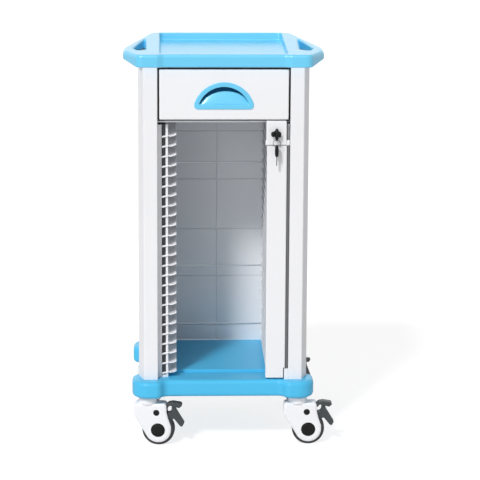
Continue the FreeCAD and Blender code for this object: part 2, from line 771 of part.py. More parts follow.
def top_tray():
    """Blue moulded top: a recessed tray with a loop handle on each side."""
    tray = Piece("top_tray")
    rim = tray.sketch(height="handle_bottom")
    front = "-(tray_front + tray_corner_proud)"
    polygon(rim, mirrored([
        ("150", "-tray_front"),
        ("164", front),
        ("tray_half", front),
        ("tray_half", "-182"),
        ("handle_half", "-128"),
        ("handle_half", "-78"),
        ("180", "tray_front"),
    ]))
    tray.pad(rim, "tray_top - handle_bottom")

    def corner(edge, x, y, slack=6.0):
        box_ = edge.BoundBox
        return upright(edge) and abs(abs(box_.XMin) - x) < slack and abs(box_.YMin - y) < slack

    half = val("handle_half")
    tray.fillet("30", lambda edge: corner(edge, half, -128) or corner(edge, half, -78))
    tray.fillet("24", lambda edge: corner(edge, 180, val("tray_front")))
    apron = tray.sketch(height="tray_bottom")
    polygon(apron, mirrored([
        ("150", "-tray_front"),
        ("164", front),
        ("tray_half", front),
        ("tray_half", "-150"),
        ("182", "-136"),
        ("182", "118"),
        ("column_outer + 1", "118"),
        ("column_outer + 1", "column_front + 2"),
        ("170", "column_front + 2"),
        ("160", "tray_front - 4"),
    ]))
    tray.pad(apron, "handle_bottom - tray_bottom")
    tray.fillet("12", lambda edge: corner(edge, val("tray_half"), val(front), 2.0))
    bends = ((150, -val("tray_front")), (164, val(front)))
    tray.fillet("12", lambda edge: any(corner(edge, x, y, 2.0) for x, y in bends))
    holes = tray.sketch(height="tray_top")
    for sx in (-1, 1):
        loop = [(185, 104), (186, -98), (198, -126), (212, -124), (226, -84), (211, 24), (195, 96)]
        polygon(holes, [(f"{sx} * {x}", str(y)) for x, y in loop])
    tray.pocket(holes, "tray_top - tray_bottom + 1")
    wide_bends = ((198, -126), (212, -124), (226, -84))
    tight_bends = ((185, 104), (195, 96), (186, -98))
    tray.fillet("8", lambda edge: any(corner(edge, x, y, 2.0) for x, y in wide_bends))
    tray.fillet("4", lambda edge: any(corner(edge, x, y, 2.0) for x, y in tight_bends))
    recess = tray.sketch(height="tray_top")
    rectangle(recess, ("-recess_half", "recess_half"), ("-recess_front", "recess_rear"))
    tray.pocket(recess, "tray_top - recess_floor")
    tray.fillet("7", lambda edge: upright(edge) and abs(abs(edge.BoundBox.XMin) - val("recess_half")) < 0.1)
    under = tray.sketch(height="tray_bottom")
    rectangle(under, ("3 - recess_half", "recess_half - 3"), ("3 - recess_front", "recess_rear - 6"))
    tray.pocket(under, "recess_floor - tray_skin - tray_bottom", reverse=True)
    for sx, sy in CORNERS:
        nut = tray.sketch(height="tray_bottom")
        circle(nut, f"{sx} * rod_x", f"{sy} * rod_y", "9")
        tray.pocket(nut, "7", reverse=True)
    tray.done()


# ---------------------------------------------------------------- lock bar and keys


def lock_bar():
    """Hinged bar in front of the right ledges, with its lock block, pins, brackets and strike."""
    bar = Piece("lock_bar")
    rear = "-(column_front - bar_depth)"
    outline = bar.sketch(height="bar_low")
    rectangle(outline, ("bar_left", "bar_right"), ("-column_front", rear))
    bar.pad(outline, "bar_high - bar_low")
    inside = bar.sketch(height="bar_low")
    rectangle(inside, ("bar_left + bar_wall", "bar_notch - bar_wall"),
              ("bar_wall - column_front", f"{rear} - bar_wall"))
    bar.pocket(inside, "bar_high - bar_low", reverse=True)
    notch = bar.sketch(height="bar_low")
    rectangle(notch, ("bar_notch", "bar_right + 1"), ("-column_front - 1", f"{rear} + 1"))
    bar.pocket(notch, "bracket_high + 2 - bar_low", reverse=True)
    web = bar.sketch(height="bracket_high + 2")
    rectangle(web, ("bar_right - 1", "hinge_x"), ("hinge_y - 1", "hinge_y + 2"))
    bar.pad(web, "bar_high - bracket_high - 2")
    knuckle = bar.sketch(height="bracket_high + 2")
    circle(knuckle, "hinge_x", "hinge_y", "knuckle_radius")
    bar.pad(knuckle, "bar_high - bracket_high - 2")
    bore = bar.sketch(height="bracket_high + 2")
    circle(bore, "hinge_x", "hinge_y", "hinge_pin_radius")
    bar.pocket(bore, "bar_high - bracket_high - 2", reverse=True)
    bar.done()

    block = Piece("lock_block")
    body = block.sketch(height="bar_high")
    rectangle(body, ("block_left", "block_right"), ("-column_front - block_proud", rear))
    block.pad(body, "block_high - bar_high")
    barrel = block.sketch("XZ_Plane", height="column_front + block_proud + 1")
    circle(barrel, "lock_x", "lock_z", "lock_radius")
    block.pocket(barrel, "bar_depth + block_proud + 2")

    def front_edge(edge):
        lies_in_front = abs(edge.BoundBox.YMax + val("column_front + block_proud")) < 0.05
        return lies_in_front and edge.Length > 20.0 and not round_edge(edge)

    block.fillet("2.5", front_edge)
    web = block.sketch(height="bar_high")
    rectangle(web, ("block_right - 1", "hinge_x"), ("hinge_y - 1", "hinge_y + 2"))
    block.pad(web, "ear_height")
    ear = block.sketch(height="bar_high")
    circle(ear, "hinge_x", "hinge_y", "knuckle_radius")
    block.pad(ear, "ear_height")
    stub = block.sketch(height="bar_high")
    rectangle(stub, ("block_left - 2", "block_left + 1"), ("-column_front", "4 - column_front"))
    block.pad(stub, "ear_height")
    bore = block.sketch(height="bar_high")
    circle(bore, "hinge_x", "hinge_y", "hinge_pin_radius")
    block.pocket(bore, "ear_height", reverse=True)
    block.done()

    pins = [
        rod("upper_pin", "z", ("hinge_x", "hinge_y"), ("bar_high - 40", "shelf_low"), "hinge_pin_radius"),
        rod("lower_pin", "z", ("hinge_x", "hinge_y"), ("base_top + 6", "bracket_high + 42"),
            "hinge_pin_radius"),
    ]
    keep(group("pins", pins), "lock_bar_pins")

    hole = "hinge_pin_radius + fit_gap"
    low = box("lower_bracket", ("bar_notch + 2", "column_inner"), ("-column_front", "rack_front - 4"),
              ("base_top", "bracket_high"))
    low_hole = rod("lower_hole", "z", ("hinge_x", "hinge_y"), ("base_top + 5", "bracket_high + 1"), hole)
    keep(cut("lower_bracket_cut", low, [low_hole]), "lock_bar_lower_bracket")
    high = box("upper_bracket", ("hinge_x - 3.2", "column_inner"), ("-column_front", "shelf_front + 14"),
               ("shelf_low - 4", "shelf_low"))
    high_hole = rod("upper_hole", "z", ("hinge_x", "hinge_y"), ("shelf_low - 5", "shelf_low + 1"), hole)
    keep(cut("upper_bracket_cut", high, [high_hole]), "lock_bar_upper_bracket")

    cup = rod("lock_shell", "y", ("lock_x", "lock_z"), ("-column_front - block_proud", rear), "lock_radius")
    rim = rod("lock_rim", "y", ("lock_x", "lock_z"), ("-column_front - block_proud - 1.5",
              "-column_front - block_proud"), "lock_radius + 1.5")
    core = rod("lock_core", "y", ("lock_x", "lock_z"), ("-column_front - 5", f"{rear} + 1"),
               "plug_radius + fit_gap")
    keep(cut("lock_body_cut", fuse("lock_body_solid", [cup, rim]), [core]), "lock_body")

    plate = box("strike_plate", ("lock_x - 9", "lock_x + 9"), (f"{rear} + 0.8", f"{rear} + 2.2"),
                ("lock_z + 7", "shelf_low"))
    foot = box("strike_foot", ("lock_x - 9", "lock_x + 9"), (f"{rear} + 0.8", "shelf_front + 12"),
               ("shelf_low - 1.4", "shelf_low"))
    keep(fuse("strike_solid", [plate, foot]), "lock_strike")

    plug = rod("plug", "y", ("lock_x", "lock_z"), ("-column_front - block_proud - 1", f"{rear} + 3"),
               "plug_radius")
    slot = box("plug_slot", ("lock_x - 1.2", "lock_x + 1.2"),
               ("-column_front - block_proud - 2", "-column_front + 14"), ("lock_z - 4", "lock_z + 4"))
    keep(cut("plug_cut", plug, [slot]), "lock_plug")
    arm = box("cam_arm", ("lock_x - cam_reach", "lock_x"), (f"{rear} + 3", f"{rear} + 5"),
              ("lock_z - 4", "lock_z + 4"))
    eye = rod("cam_eye", "y", ("lock_x", "lock_z"), (f"{rear} + 3", f"{rear} + 5"), "6")
    keep(fuse("cam_solid", [arm, eye]), "lock_cam")


def round_edge(edge):
    """True for an edge that is part of a circle."""
    return isinstance(edge.Curve, Part.Circle)


def bow(name, top, y_front):
    """A key's moulded head, seen edge-on from the front, with a thin lug and hole for the ring."""
    half = "bow_thick / 2"
    body = box(f"{name}_body", (f"lock_x - {half}", f"lock_x + {half}"), (y_front, f"{y_front} + bow_deep"),
               (f"{top} - bow_length", top))
    return rounded(f"{name}_round", body, "3.5", lambda edge: True)


def keys():
    """The key in the lock, the wire ring on it, and the spare key hanging from the ring."""
    head_top = "lock_z + bow_length / 2"
    face = "-column_front - block_proud - 2"
    head = bow("bow", head_top, f"{face} - bow_deep - 2")
    blade = box("key_blade", ("lock_x - 1.1", "lock_x + 1.1"), (f"{face} - 4", "-column_front + 12"),
                ("lock_z - 3.8", "lock_z + 3.8"))
    wing = box("key_wing", ("lock_x - 12", "lock_x - 2"), (f"{face} - 12", f"{face} - 6"),
               ("lock_z - 6", "lock_z + 8"))
    soft_wing = rounded("key_wing_round", wing, "2.4", lambda edge: True)
    lug_sides = ("lock_x - lug_thick / 2", "lock_x + lug_thick / 2")
    lug = rod("key_lug", "x", ("ring_y", "ring_top"), lug_sides, "3.4")
    eye = rod("key_eye", "x", ("ring_y", "ring_top"), ("lock_x - 6", "lock_x + 6"), "1.5")
    slot = box("key_slot_left", ("lock_x - 6", "lock_x - lug_thick / 2"), ("ring_y - 6", "ring_y + 6"),
               ("ring_top - 8", "ring_top + 2"))
    other = box("key_slot_right", ("lock_x + lug_thick / 2", "lock_x + 6"), ("ring_y - 6", "ring_y + 6"),
                ("ring_top - 8", "ring_top + 2"))
    solid = fuse("key_solid", [head, blade, soft_wing, lug])
    keep(cut("key_cut", solid, [eye, slot, other]), "key")

    ring = doc.addObject("Part::Torus", "ring")
    ring.setExpression("Radius1", ex("ring_radius"))
    ring.setExpression("Radius2", ex("ring_wire"))
    ring.Placement = Placement(Vector(), TURNS["y"])
    for letter, text in zip("xyz", ("lock_x", "ring_y", "ring_top - ring_radius")):
        ring.setExpression(f"Placement.Base.{letter}", ex(text))
    keep(ring, "key_ring")

    hole_z = "ring_top - 2 * ring_radius"
    spare_top = f"{hole_z} - 1"
    body = bow("spare", spare_top, "ring_y - bow_deep / 2")
    blade = box("spare_blade", ("lock_x - 1.1", "lock_x + 1.1"), ("ring_y - 3.8", "ring_y + 3.8"),
                (f"{spare_top} - bow_length - 19", f"{spare_top} - bow_length + 4"))
    lug = rod("spare_lug", "x", ("ring_y", hole_z), lug_sides, "3.2")
    neck = box("spare_neck", lug_sides, ("ring_y - 3.2", "ring_y + 3.2"), (f"{hole_z} - 6", hole_z))
    eye = rod("spare_eye", "x", ("ring_y", hole_z), ("lock_x - 6", "lock_x + 6"), "1.5")
    sides = [
        box("spare_slot_left", ("lock_x - 6", "lock_x - lug_thick / 2"), ("ring_y - 6", "ring_y + 6"),
            (f"{hole_z} - 2.5", f"{hole_z} + 4")),
        box("spare_slot_right", ("lock_x + lug_thick / 2", "lock_x + 6"), ("ring_y - 6", "ring_y + 6"),
            (f"{hole_z} - 2.5", f"{hole_z} + 4")),
    ]
    keep(cut("spare_cut", fuse("spare_solid", [body, blade, lug, neck]), [eye] + sides), "spare_key")


# ---------------------------------------------------------------- castors

CASTOR_TURN = {"front_left": -6, "front_right": -1, "rear_left": 60, "rear_right": 55}
HUB = ("castor_trail", "wheel_radius")


def fork_body(name):
    """White castor housing: two cheeks joined over the wheel, a collar and a stem on top."""
    fork = Piece(name)
    outline = fork.sketch("XZ_Plane")
    polygon(outline, [
        ("-35", "fork_top"),
        ("-34", "90"),
        ("-16", "47"),
        ("castor_trail - 31", "wheel_radius - 17"),
        ("castor_trail + 31", "wheel_radius - 17"),
        ("castor_trail + 32", "wheel_radius + 15"),
        ("53", "74"),
        ("48", "88"),
        ("48", "fork_top"),
    ])
    fork.pad(outline, "2 * fork_half", both=True)
    cover = fork.sketch("XZ_Plane")
    circle(cover, *HUB, "cover_radius")
    fork.pad(cover, "2 * fork_half", both=True)
    well = fork.sketch("XZ_Plane")
    circle(well, *HUB, "wheel_radius + 2.5")
    fork.pocket(well, "2 * fork_slot", both=True)
    mouth = fork.sketch("XZ_Plane")
    rectangle(mouth, ("pivot_x - 8", "60"), ("wheel_radius + 20", "fork_top - 8"))
    fork.pocket(mouth, "2 * fork_slot", both=True)
    pivot = fork.sketch("XZ_Plane")
    circle(pivot, "pivot_x", "pivot_z", "pivot_radius + fit_gap")
    fork.pocket(pivot, "2 * fork_half + 2", both=True)
    axle = fork.sketch("XZ_Plane")
    circle(axle, *HUB, "axle_radius")
    fork.pocket(axle, "2 * fork_half + 2", both=True)
    collar = fork.sketch(height="fork_top - 1")
    circle(collar, "0", "0", "collar_radius")
    fork.pad(collar, "collar_top - fork_top + 1")
    stem = fork.sketch(height="collar_top")
    circle(stem, "0", "0", "stem_radius")
    fork.pad(stem, "stem_top - collar_top")
    return fork.body


def pedal_body(name):
    """Dark brake pedal: an arm with an upper and a lower foot pad, on a pin with a round cap at each end."""
    pedal = Piece(name)
    arm = pedal.sketch("XZ_Plane")
    polygon(arm, [
        ("pivot_x", "pivot_z - 2.5"),
        ("36", "85"),
        ("50", "81"),
        ("58", "75"),
        ("66", "71"),
        ("84", "48"),
        ("90", "47"),
        ("93", "54"),
        ("71", "85"),
        ("66", "92"),
        ("72", "95"),
        ("86", "99"),
        ("89", "104"),
        ("85", "108"),
        ("57", "111"),
        ("51", "106"),
        ("46", "98"),
        ("40", "93"),
        ("pivot_x", "pivot_z + 5"),
    ])
    pedal.pad(arm, "2 * pedal_half", both=True)
    pin = pedal.sketch("XZ_Plane")
    circle(pin, "pivot_x", "pivot_z", "pivot_radius")
    pedal.pad(pin, "2 * fork_half + 1", both=True)
    for height, away in (("fork_half + 0.3", False), ("-(fork_half + 0.3)", True)):
        cap = pedal.sketch("XZ_Plane", height=height)
        circle(cap, "pivot_x", "pivot_z", "pivot_cap_radius")
        pedal.pad(cap, "1", reverse=away)
    return pedal.body


def castor(sx, sy):
    """One swivelling braked castor, built about its stem and turned to its resting heading."""
    corner = CORNER_NAMES[sx, sy]
    name = f"{corner}_castor"
    cheek = ("-fork_half - 1.5", "fork_half + 1.5")
    fork = keep(fork_body(f"{name}_fork"), f"{name}_fork")
    shaft = rod(f"{name}_shaft", "y", HUB, ("-fork_half", "fork_half"), "axle_radius")
    caps = [
        rod(f"{name}_cap_near", "y", HUB, (cheek[0], "-fork_half"), "cap_radius"),
        rod(f"{name}_cap_far", "y", HUB, ("fork_half", cheek[1]), "cap_radius"),
    ]
    axle = keep(fuse(f"{name}_axle_solid", [shaft] + caps), f"{name}_axle")
    core = Piece(f"{name}_wheel")
    rim = core.sketch("XZ_Plane")
    circle(rim, *HUB, "core_radius")
    circle(rim, *HUB, "axle_radius + fit_gap")
    core.pad(rim, "2 * wheel_half", both=True)
    core_piece = core.done()
    band = Piece(f"{name}_tyre")
    tread = band.sketch("XZ_Plane")
    circle(tread, *HUB, "wheel_radius")
    circle(tread, *HUB, "core_radius")
    band.pad(tread, "2 * wheel_half", both=True)
    far = val("wheel_radius")
    band.fillet("6", lambda edge: round_edge(edge) and abs(edge.Curve.Radius - far) < 0.1)
    tyre = band.done()
    pedal = keep(pedal_body(f"{name}_pedal"), f"{name}_pedal")
    turn = Rotation(Vector(0, 0, 1), CASTOR_TURN[corner])
    for piece in (fork, axle, core_piece, tyre, pedal):
        piece.Placement = Placement(Vector(), turn)
        piece.setExpression("Placement.Base.x", ex(f"{sx} * castor_x"))
        piece.setExpression("Placement.Base.y", ex(f"{sy} * castor_y"))


# ---------------------------------------------------------------- small fasteners


def panel_screws():
    """Screws through the back panel into the rear columns' flanges."""
    solids = []
    for n, z in enumerate((230, 420, 610, 800)):
        for sx in (-1, 1):
            place = (f"{sx} * (column_inner - 10)", str(z))
            head = rod(f"panel_head{n}{sx + 1}", "y", place, ("back_panel_front + back_panel_skin",
                       "back_panel_front + back_panel_skin + 2"), "screw_head")
            solids.append(head)
    keep(group("panel_screw_group", solids), "back_panel_screws")


def build():
    """Make every sub-part, check it, and write it out."""
    base_board()
    base_frame()
    for sx, sy in CORNERS:
        column(sx, sy)
    tie_rods()
    top_frame()
    side_panel(-1, "left_side_panel")
    side_panel(1, "right_side_panel")
    back_panel()
    rack(-1, "left")
    rack(1, "right")
    drawer()
    top_tray()
    lock_bar()
    keys()
    for sx, sy in CORNERS:
        castor(sx, sy)
    panel_screws()
    doc.recompute()
    for item in doc.Objects:
        if "Invalid" in item.State or "Error" in item.State:
            raise RuntimeError(f"{item.Name} failed: {item.State}")
    for piece in PARTS:
        if piece.Shape.isNull() or not piece.Shape.isValid():
            raise RuntimeError(f"{piece.Label} has no valid shape")
    os.makedirs("parts", exist_ok=True)
    for piece in PARTS:
        piece.Shape.exportStep(f"parts/{piece.Label}.step")
        print(f"{piece.Label}: {len(piece.Shape.Solids)} solid(s), {piece.Shape.Volume / 1000:.1f} cm3")


build()
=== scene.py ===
"""Looks of a hospital chart rack: blue moulded tray and base, white columns and ledges, keys and castors."""

import json
import math

import bmesh
import bpy
import numpy as np
from mathutils import Matrix, Vector
from mathutils.geometry import delaunay_2d_cdt


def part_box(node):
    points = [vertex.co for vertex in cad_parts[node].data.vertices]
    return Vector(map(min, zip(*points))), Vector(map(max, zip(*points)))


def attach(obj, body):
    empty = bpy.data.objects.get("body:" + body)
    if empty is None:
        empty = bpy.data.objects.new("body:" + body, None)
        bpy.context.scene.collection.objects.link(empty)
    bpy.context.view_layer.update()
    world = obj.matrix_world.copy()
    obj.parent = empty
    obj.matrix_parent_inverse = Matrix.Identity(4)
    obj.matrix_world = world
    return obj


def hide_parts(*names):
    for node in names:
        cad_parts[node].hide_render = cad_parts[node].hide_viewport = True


bl_info = {
    "name": "Chart Rack",
    "version": (1, 0, 0),
    "blender": (4, 5, 0),
    "location": "View3D > Sidebar > Chart Rack",
    "description": "Dresses the packed chart rack with moulded shells, ledges, keys, castors and finishes",
    "category": "Object",
}

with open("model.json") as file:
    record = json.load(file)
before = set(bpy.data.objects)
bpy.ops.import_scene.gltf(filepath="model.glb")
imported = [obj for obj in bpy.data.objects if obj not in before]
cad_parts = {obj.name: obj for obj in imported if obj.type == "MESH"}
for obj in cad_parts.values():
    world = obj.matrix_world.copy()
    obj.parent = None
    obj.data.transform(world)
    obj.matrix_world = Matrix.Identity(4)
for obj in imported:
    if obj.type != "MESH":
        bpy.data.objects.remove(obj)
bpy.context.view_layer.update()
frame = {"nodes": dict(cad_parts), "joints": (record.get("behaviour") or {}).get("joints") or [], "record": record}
BODY = {node: body for body, nodes in frame["record"]["behaviour"]["bodies"].items() for node in nodes}
SLOT = {part["node"]: part["material_slot"] for part in frame["record"]["subparts"]}
JOINT = {joint["name"]: joint for joint in frame["joints"]}
BOX = {node: tuple(np.array(corner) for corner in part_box(node)) for node in frame["nodes"]}
CORNERS = ("front_left", "front_right", "rear_left", "rear_right")


def tone(red, green, blue):
    """The linear colour of three display levels from 0 to 255."""
    levels = np.array((red, green, blue)) / 255
    return tuple(np.where(levels <= 0.04045, levels / 12.92, ((levels + 0.055) / 1.055) ** 2.4).tolist())


# ---------------------------------------------------------------- settings


def length(name, description, default):
    """A length property in metres."""
    return bpy.props.FloatProperty(
        name=name, description=description, default=default, unit="LENGTH", precision=4
    )


def colour(name, description, default):
    """A colour property."""
    return bpy.props.FloatVectorProperty(
        name=name, description=description, default=default, subtype="COLOR", min=0, max=1
    )


class RackSizes(bpy.types.PropertyGroup):
    """Sizes that a user would change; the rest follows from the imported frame."""

    tray_edge: length("Tray edge", "Rounding along the tray's outer top edge", 0.006)
    tray_recess_half: length("Recess half width", "Half the width of the tray's recess", 0.158)
    tray_recess_front: length("Recess front", "Depth position of the recess's front wall", -0.180)
    tray_recess_rear: length("Recess rear", "Depth position of the recess's rear wall", 0.190)
    tray_recess_depth: length("Recess depth", "Depth of the tray's recess below its rim", 0.020)
    handle_height: length("Handle height", "Thickness of the side handles", 0.0242)
    base_edge: length("Base edge", "Rounding along the base's upper edge", 0.011)
    lobe_width: length("Lobe width", "Width of the base's corner lobes", 0.068)
    lobe_step_front: length("Front step", "How far the lobes stand out at front and rear", 0.022)
    lobe_step_side: length("Side step", "How far the lobes stand out at the sides", 0.018)
    pull_rim: length("Pull rim", "Width of the rim round the drawer pull", 0.0115)
    front_edge: length("Drawer front edge", "Rounding along the drawer front's edges", 0.0028)
    ledge_edge: length("Ledge edge", "Rounding at the ledges' ends", 0.0004)
    wheel_cover: length("Wheel cover", "Radius of the castor shell's round cheek", 0.033)
    column_edge: length("Column edge", "Rounding along the columns' corners", 0.0022)


class RackColours(bpy.types.PropertyGroup):
    """Base colours of the finishes."""

    # the tray's blue is lighter than the base's, though both stand for one moulded blue: the extra lightness is
    # painted sheen on the tray's top faces
    blue: colour("Blue", "Tray and drawer pull", tone(96, 203, 243))
    base_blue: colour("Base blue", "Base", tone(79, 190, 235))
    # a dark navy for the sheet in the pull's finger pocket: painted shade where the deep pocket lies in shadow
    pocket_shade_blue: colour("Deep blue", "Lining of the drawer pull's finger pocket", tone(4, 74, 114))
    white_metal: colour("Columns", "Powder coat on the columns and the lock bar", tone(238, 238, 241))
    white_plastic: colour("Mouldings", "Drawer front, ledges and castor shells", tone(240, 240, 243))
    panel: colour("Panels", "Back and side panels", tone(238, 239, 242))
    steel: colour("Steel", "Slides, frames and fasteners", tone(172, 174, 178))
    chrome: colour("Chrome", "Lock barrel and key ring", tone(205, 206, 210))
    # black is the key heads' and hub caps' own colour, and painted shade on the strip round the drawer and on the
    # lobe right of the key head
    black: colour("Black", "Key heads and hub caps", tone(9, 9, 10))
    # dark grey is the pedals' and cores' own colour, and painted shade on the sheet behind the rack strips'
    # windows
    dark_grey: colour("Dark grey", "Brake pedals and wheel cores", tone(58, 63, 66))
    tyre: colour("Tyre", "Castor tyres", tone(52, 52, 55))
    hinge: colour("Hinge", "Hinge knuckle beside the lock bar", tone(122, 122, 125))


# ---------------------------------------------------------------- shader helpers


class Wire:
    """A socket in a node tree; an operator on it adds the Math node that does the sum."""

    def __init__(self, tree, socket):
        self.tree = tree
        self.socket = socket

    def math(self, operation, *terms):
        node = self.tree.nodes.new("ShaderNodeMath")
        node.operation = operation
        for socket, term in zip(node.inputs, terms):
            if isinstance(term, Wire):
                self.tree.links.new(term.socket, socket)
            else:
                socket.default_value = term
        return Wire(self.tree, node.outputs[0])

    def __add__(self, other):
        return self.math("ADD", self, other)

    def __mul__(self, other):
        return self.math("MULTIPLY", self, other)

    def larger(self, other):
        return self.math("MAXIMUM", self, other)


class Finish:
    """A material being made: a Principled shader and the nodes that feed it."""

    def __init__(self, name, colour, roughness, **constants):
        self.material = bpy.data.materials.new(name)
        self.material.use_nodes = True
        self.tree = self.material.node_tree
        self.shader = next(node for node in self.tree.nodes if node.type == "BSDF_PRINCIPLED")
        self.colour = (*colour, 1.0)
        self.roughness = roughness
        self.set("Base Color", self.colour)
        self.set("Roughness", roughness)
        for socket, value in constants.items():
            self.set(socket.replace("_", " "), value)
        self.place = self.node("ShaderNodeTexCoord", output="Object")

    def set(self, socket, value):
        """Put a number, a colour or a wire on one of the shader's sockets."""
        target = self.shader.inputs[socket]
        if isinstance(value, Wire):
            self.tree.links.new(value.socket, target)
        else:
            target.default_value = value

    def node(self, kind, settings=None, inputs=None, output=0):
        """Add a node: its settings first, then its sockets' values or links; returns one output."""
        node = self.tree.nodes.new(kind)
        for key, value in (settings or {}).items():
            setattr(node, key, value)
        for key, value in (inputs or {}).items():
            if isinstance(value, Wire):
                self.tree.links.new(value.socket, node.inputs[key])
            else:
                node.inputs[key].default_value = value
        return Wire(self.tree, node.outputs[output])

    def noise(self, scale, detail=2.0, stretch=(1, 1, 1)):
        """Noise in object space, scale features a metre, drawn out along the axes by stretch."""
        scaled = {"Vector": self.place, "Scale": stretch}
        spot = self.node("ShaderNodeMapping", inputs=scaled, output="Vector")
        return self.node("ShaderNodeTexNoise", inputs={"Vector": spot, "Scale": scale, "Detail": detail})

    def mottle(self, wire, spread):
        """Let the colour drift darker and lighter by spread as the wire goes from 0 to 1."""
        dark, light = (tuple(min(1, c * k) for c in self.colour[:3]) + (1,) for k in (1 - spread, 1 + spread))
        # a colour mix keeps its colour sockets behind those of its number and vector forms
        mix = self.node("ShaderNodeMix", {"data_type": "RGBA"}, {0: wire, 6: dark, 7: light}, 2)
        self.set("Base Color", mix)

    def gloss(self, wire, spread):
        """Let the roughness drift by spread about its mean as the wire goes from 0 to 1."""
        self.set("Roughness", wire * (2 * spread) + (self.roughness - spread))

    def relief(self, wire, height):
        """Raise the surface by height, in metres, where the wire is 1."""
        bump = self.node("ShaderNodeBump", inputs={"Height": wire, "Distance": height, "Strength": 1.0})
        self.set("Normal", bump)


def moulded(name, colour, roughness, grain, height, **constants):
    """Moulded plastic or paint: slow drift of colour and gloss, and a fine grain."""
    finish = Finish(name, colour, roughness, **constants)
    finish.mottle(finish.noise(7.0, 3.0), 0.03)
    finish.gloss(finish.noise(38.0, 3.0), 0.05)
    finish.relief(finish.noise(grain), height)
    return finish.material


def brushed(name, colour, roughness, stretch, height=0.00001):
    """Metal with fine lines along one axis: stretch is small along the lines."""
    finish = Finish(name, colour, roughness, Metallic=1.0)
    lines = finish.noise(900.0, 3.0, stretch)
    finish.mottle(lines, 0.12)
    finish.gloss(finish.noise(60.0), 0.08)
    finish.relief(lines, height)
    return finish.material


def tyre_rubber(name, colour):
    """Dark rubber with dust in patches and a fine pebbled skin."""
    finish = Finish(name, colour, 0.62)
    dust = finish.noise(120.0, 5.0)
    finish.mottle(dust, 0.22)
    finish.gloss(dust, 0.12)
    finish.relief(finish.noise(1100.0), 0.00004)
    return finish.material


FINISHES = {}


def make_finishes(colours):
    """Every finish, named for what it covers."""
    glossy = {"IOR": 1.7, "Coat_Weight": 0.6, "Coat_Roughness": 0.3}
    satin = {"IOR": 1.3, "Coat_Weight": 0.1, "Coat_Roughness": 0.1}
    FINISHES.update(
        # blue_shell carries the tray's lighter blue, whose extra lightness is painted sheen
        blue_shell=moulded("blue_shell", colours.blue, 0.34, 520, 0.000012, **glossy),
        blue_base=moulded("blue_base", colours.base_blue, 0.34, 520, 0.000012, **satin),
        # painted shade: the finish of the dark sheet in the pull's finger pocket
        blue_depth=moulded("blue_depth", colours.pocket_shade_blue, 0.6, 520, 0.000012, IOR=1.2),
        white_metal=moulded("white_powder_coat", colours.white_metal, 0.50, 900, 0.000018, IOR=1.3),
        white_plastic=moulded("white_moulding", colours.white_plastic, 0.33, 600, 0.00001),
        panel_grey=moulded("panel_laminate", colours.panel, 0.50, 420, 0.00002),
        steel=brushed("zinc_plate", colours.steel, 0.38, (1, 1, 0.05)),
        chrome=brushed("chrome_plate", colours.chrome, 0.12, (1, 1, 1), 0.000002),
        black_plastic=moulded("black_moulding", colours.black, 0.42, 800, 0.00002, IOR=1.35),
        dark_grey_plastic=moulded("grey_nylon", colours.dark_grey, 0.46, 600, 0.00003),
        tyre_grey=tyre_rubber("tyre_rubber", colours.tyre),
        hinge=brushed("hinge_anodised", colours.hinge, 0.45, (1, 1, 0.05)),
    )


# ---------------------------------------------------------------- surfaces


class Loop:
    """A closed plan curve, counter-clockwise: points in order and the outward unit normal at each."""

    def __init__(self, points, normals):
        self.points = points
        self.normals = normals

    def outset(self, distance):
        """The curve moved along its normals."""
        return self.points + distance * self.normals


def spokes(angle):
    """The unit vectors at some angles: cosine and sine, side by side."""
    return np.stack([np.cos(angle), np.sin(angle)], axis=1)


def whole_turn(count):
    """The angles of a whole turn in equal steps."""
    return np.linspace(0, 2 * math.pi, count, endpoint=False)


def rounded(corners, arc_step=0.2):
    """A polygon with rounded corners, each given as x, y and radius, brought to run counter-clockwise.

    An arc's centre lies on the corner's bisector, radius / cos(half the turn) from the corner, and its points
    are the centre plus radius times a normal that turns from the incoming side's to the outgoing side's. A
    corner with no radius keeps one point, its normal lengthened so that an offset keeps both sides parallel.
    """
    spots = np.array([corner[:2] for corner in corners], float)
    after = np.roll(spots, -1, axis=0)
    if (spots[:, 0] * after[:, 1] - spots[:, 1] * after[:, 0]).sum() < 0:
        return rounded(corners[::-1], arc_step)
    ahead = after - spots
    ahead /= np.linalg.norm(ahead, axis=1)[:, None]
    behind = np.roll(ahead, 1, axis=0)
    points, normals = [], []
    for spot, came, goes, (_, _, radius) in zip(spots, behind, ahead, corners):
        first = np.array((came[1], -came[0]))
        last = np.array((goes[1], -goes[0]))
        mitre = (first + last) / (1 + first @ last)
        if not radius:
            points.append(spot[None])
            normals.append(mitre[None])
            continue
        turn = math.atan2(came[0] * goes[1] - came[1] * goes[0], came @ goes)
        side = 1.0 if turn >= 0 else -1.0
        steps = max(2, int(abs(turn) / arc_step) + 2)
        normal = spokes(math.atan2(first[1], first[0]) + np.linspace(0, turn, steps))
        points.append(spot - side * radius * mitre + side * radius * normal)
        normals.append(normal)
    return Loop(np.concatenate(points), np.concatenate(normals))


def mirrored(right):
    """Corners of the right half, front to rear, with their mirror images on the left."""
    return right + [(-x, y, radius) for x, y, radius in reversed(right)]


def flipped(corners, across, along=1):
    """Corners given for the right and the rear, taken to the side that the two signs name."""
    return [(across * x, along * y, radius) for x, y, radius in corners]


def rectangle(x, y, radius, arc_step=0.3):
    """A rounded rectangle between two pairs of limits."""
    corners = ((x[0], y[0]), (x[1], y[0]), (x[1], y[1]), (x[0], y[1]))
    return rounded([(*corner, radius) for corner in corners], arc_step)


def circle(centre, radius, count):
    """A circle: centre plus radius times the cosine and sine of the angle."""
    normal = spokes(whole_turn(count))
    return Loop(np.array(centre) + radius * normal, normal)


def lying(a, b, c):
    """Plan coordinates to space: the plane is level, and c is height."""
    return np.stack([a, b, c], axis=-1)


def facing(a, b, c):
    """Plan coordinates to space: the plane faces the front, b is height and c is depth."""
    return np.stack([a, c, b], axis=-1)


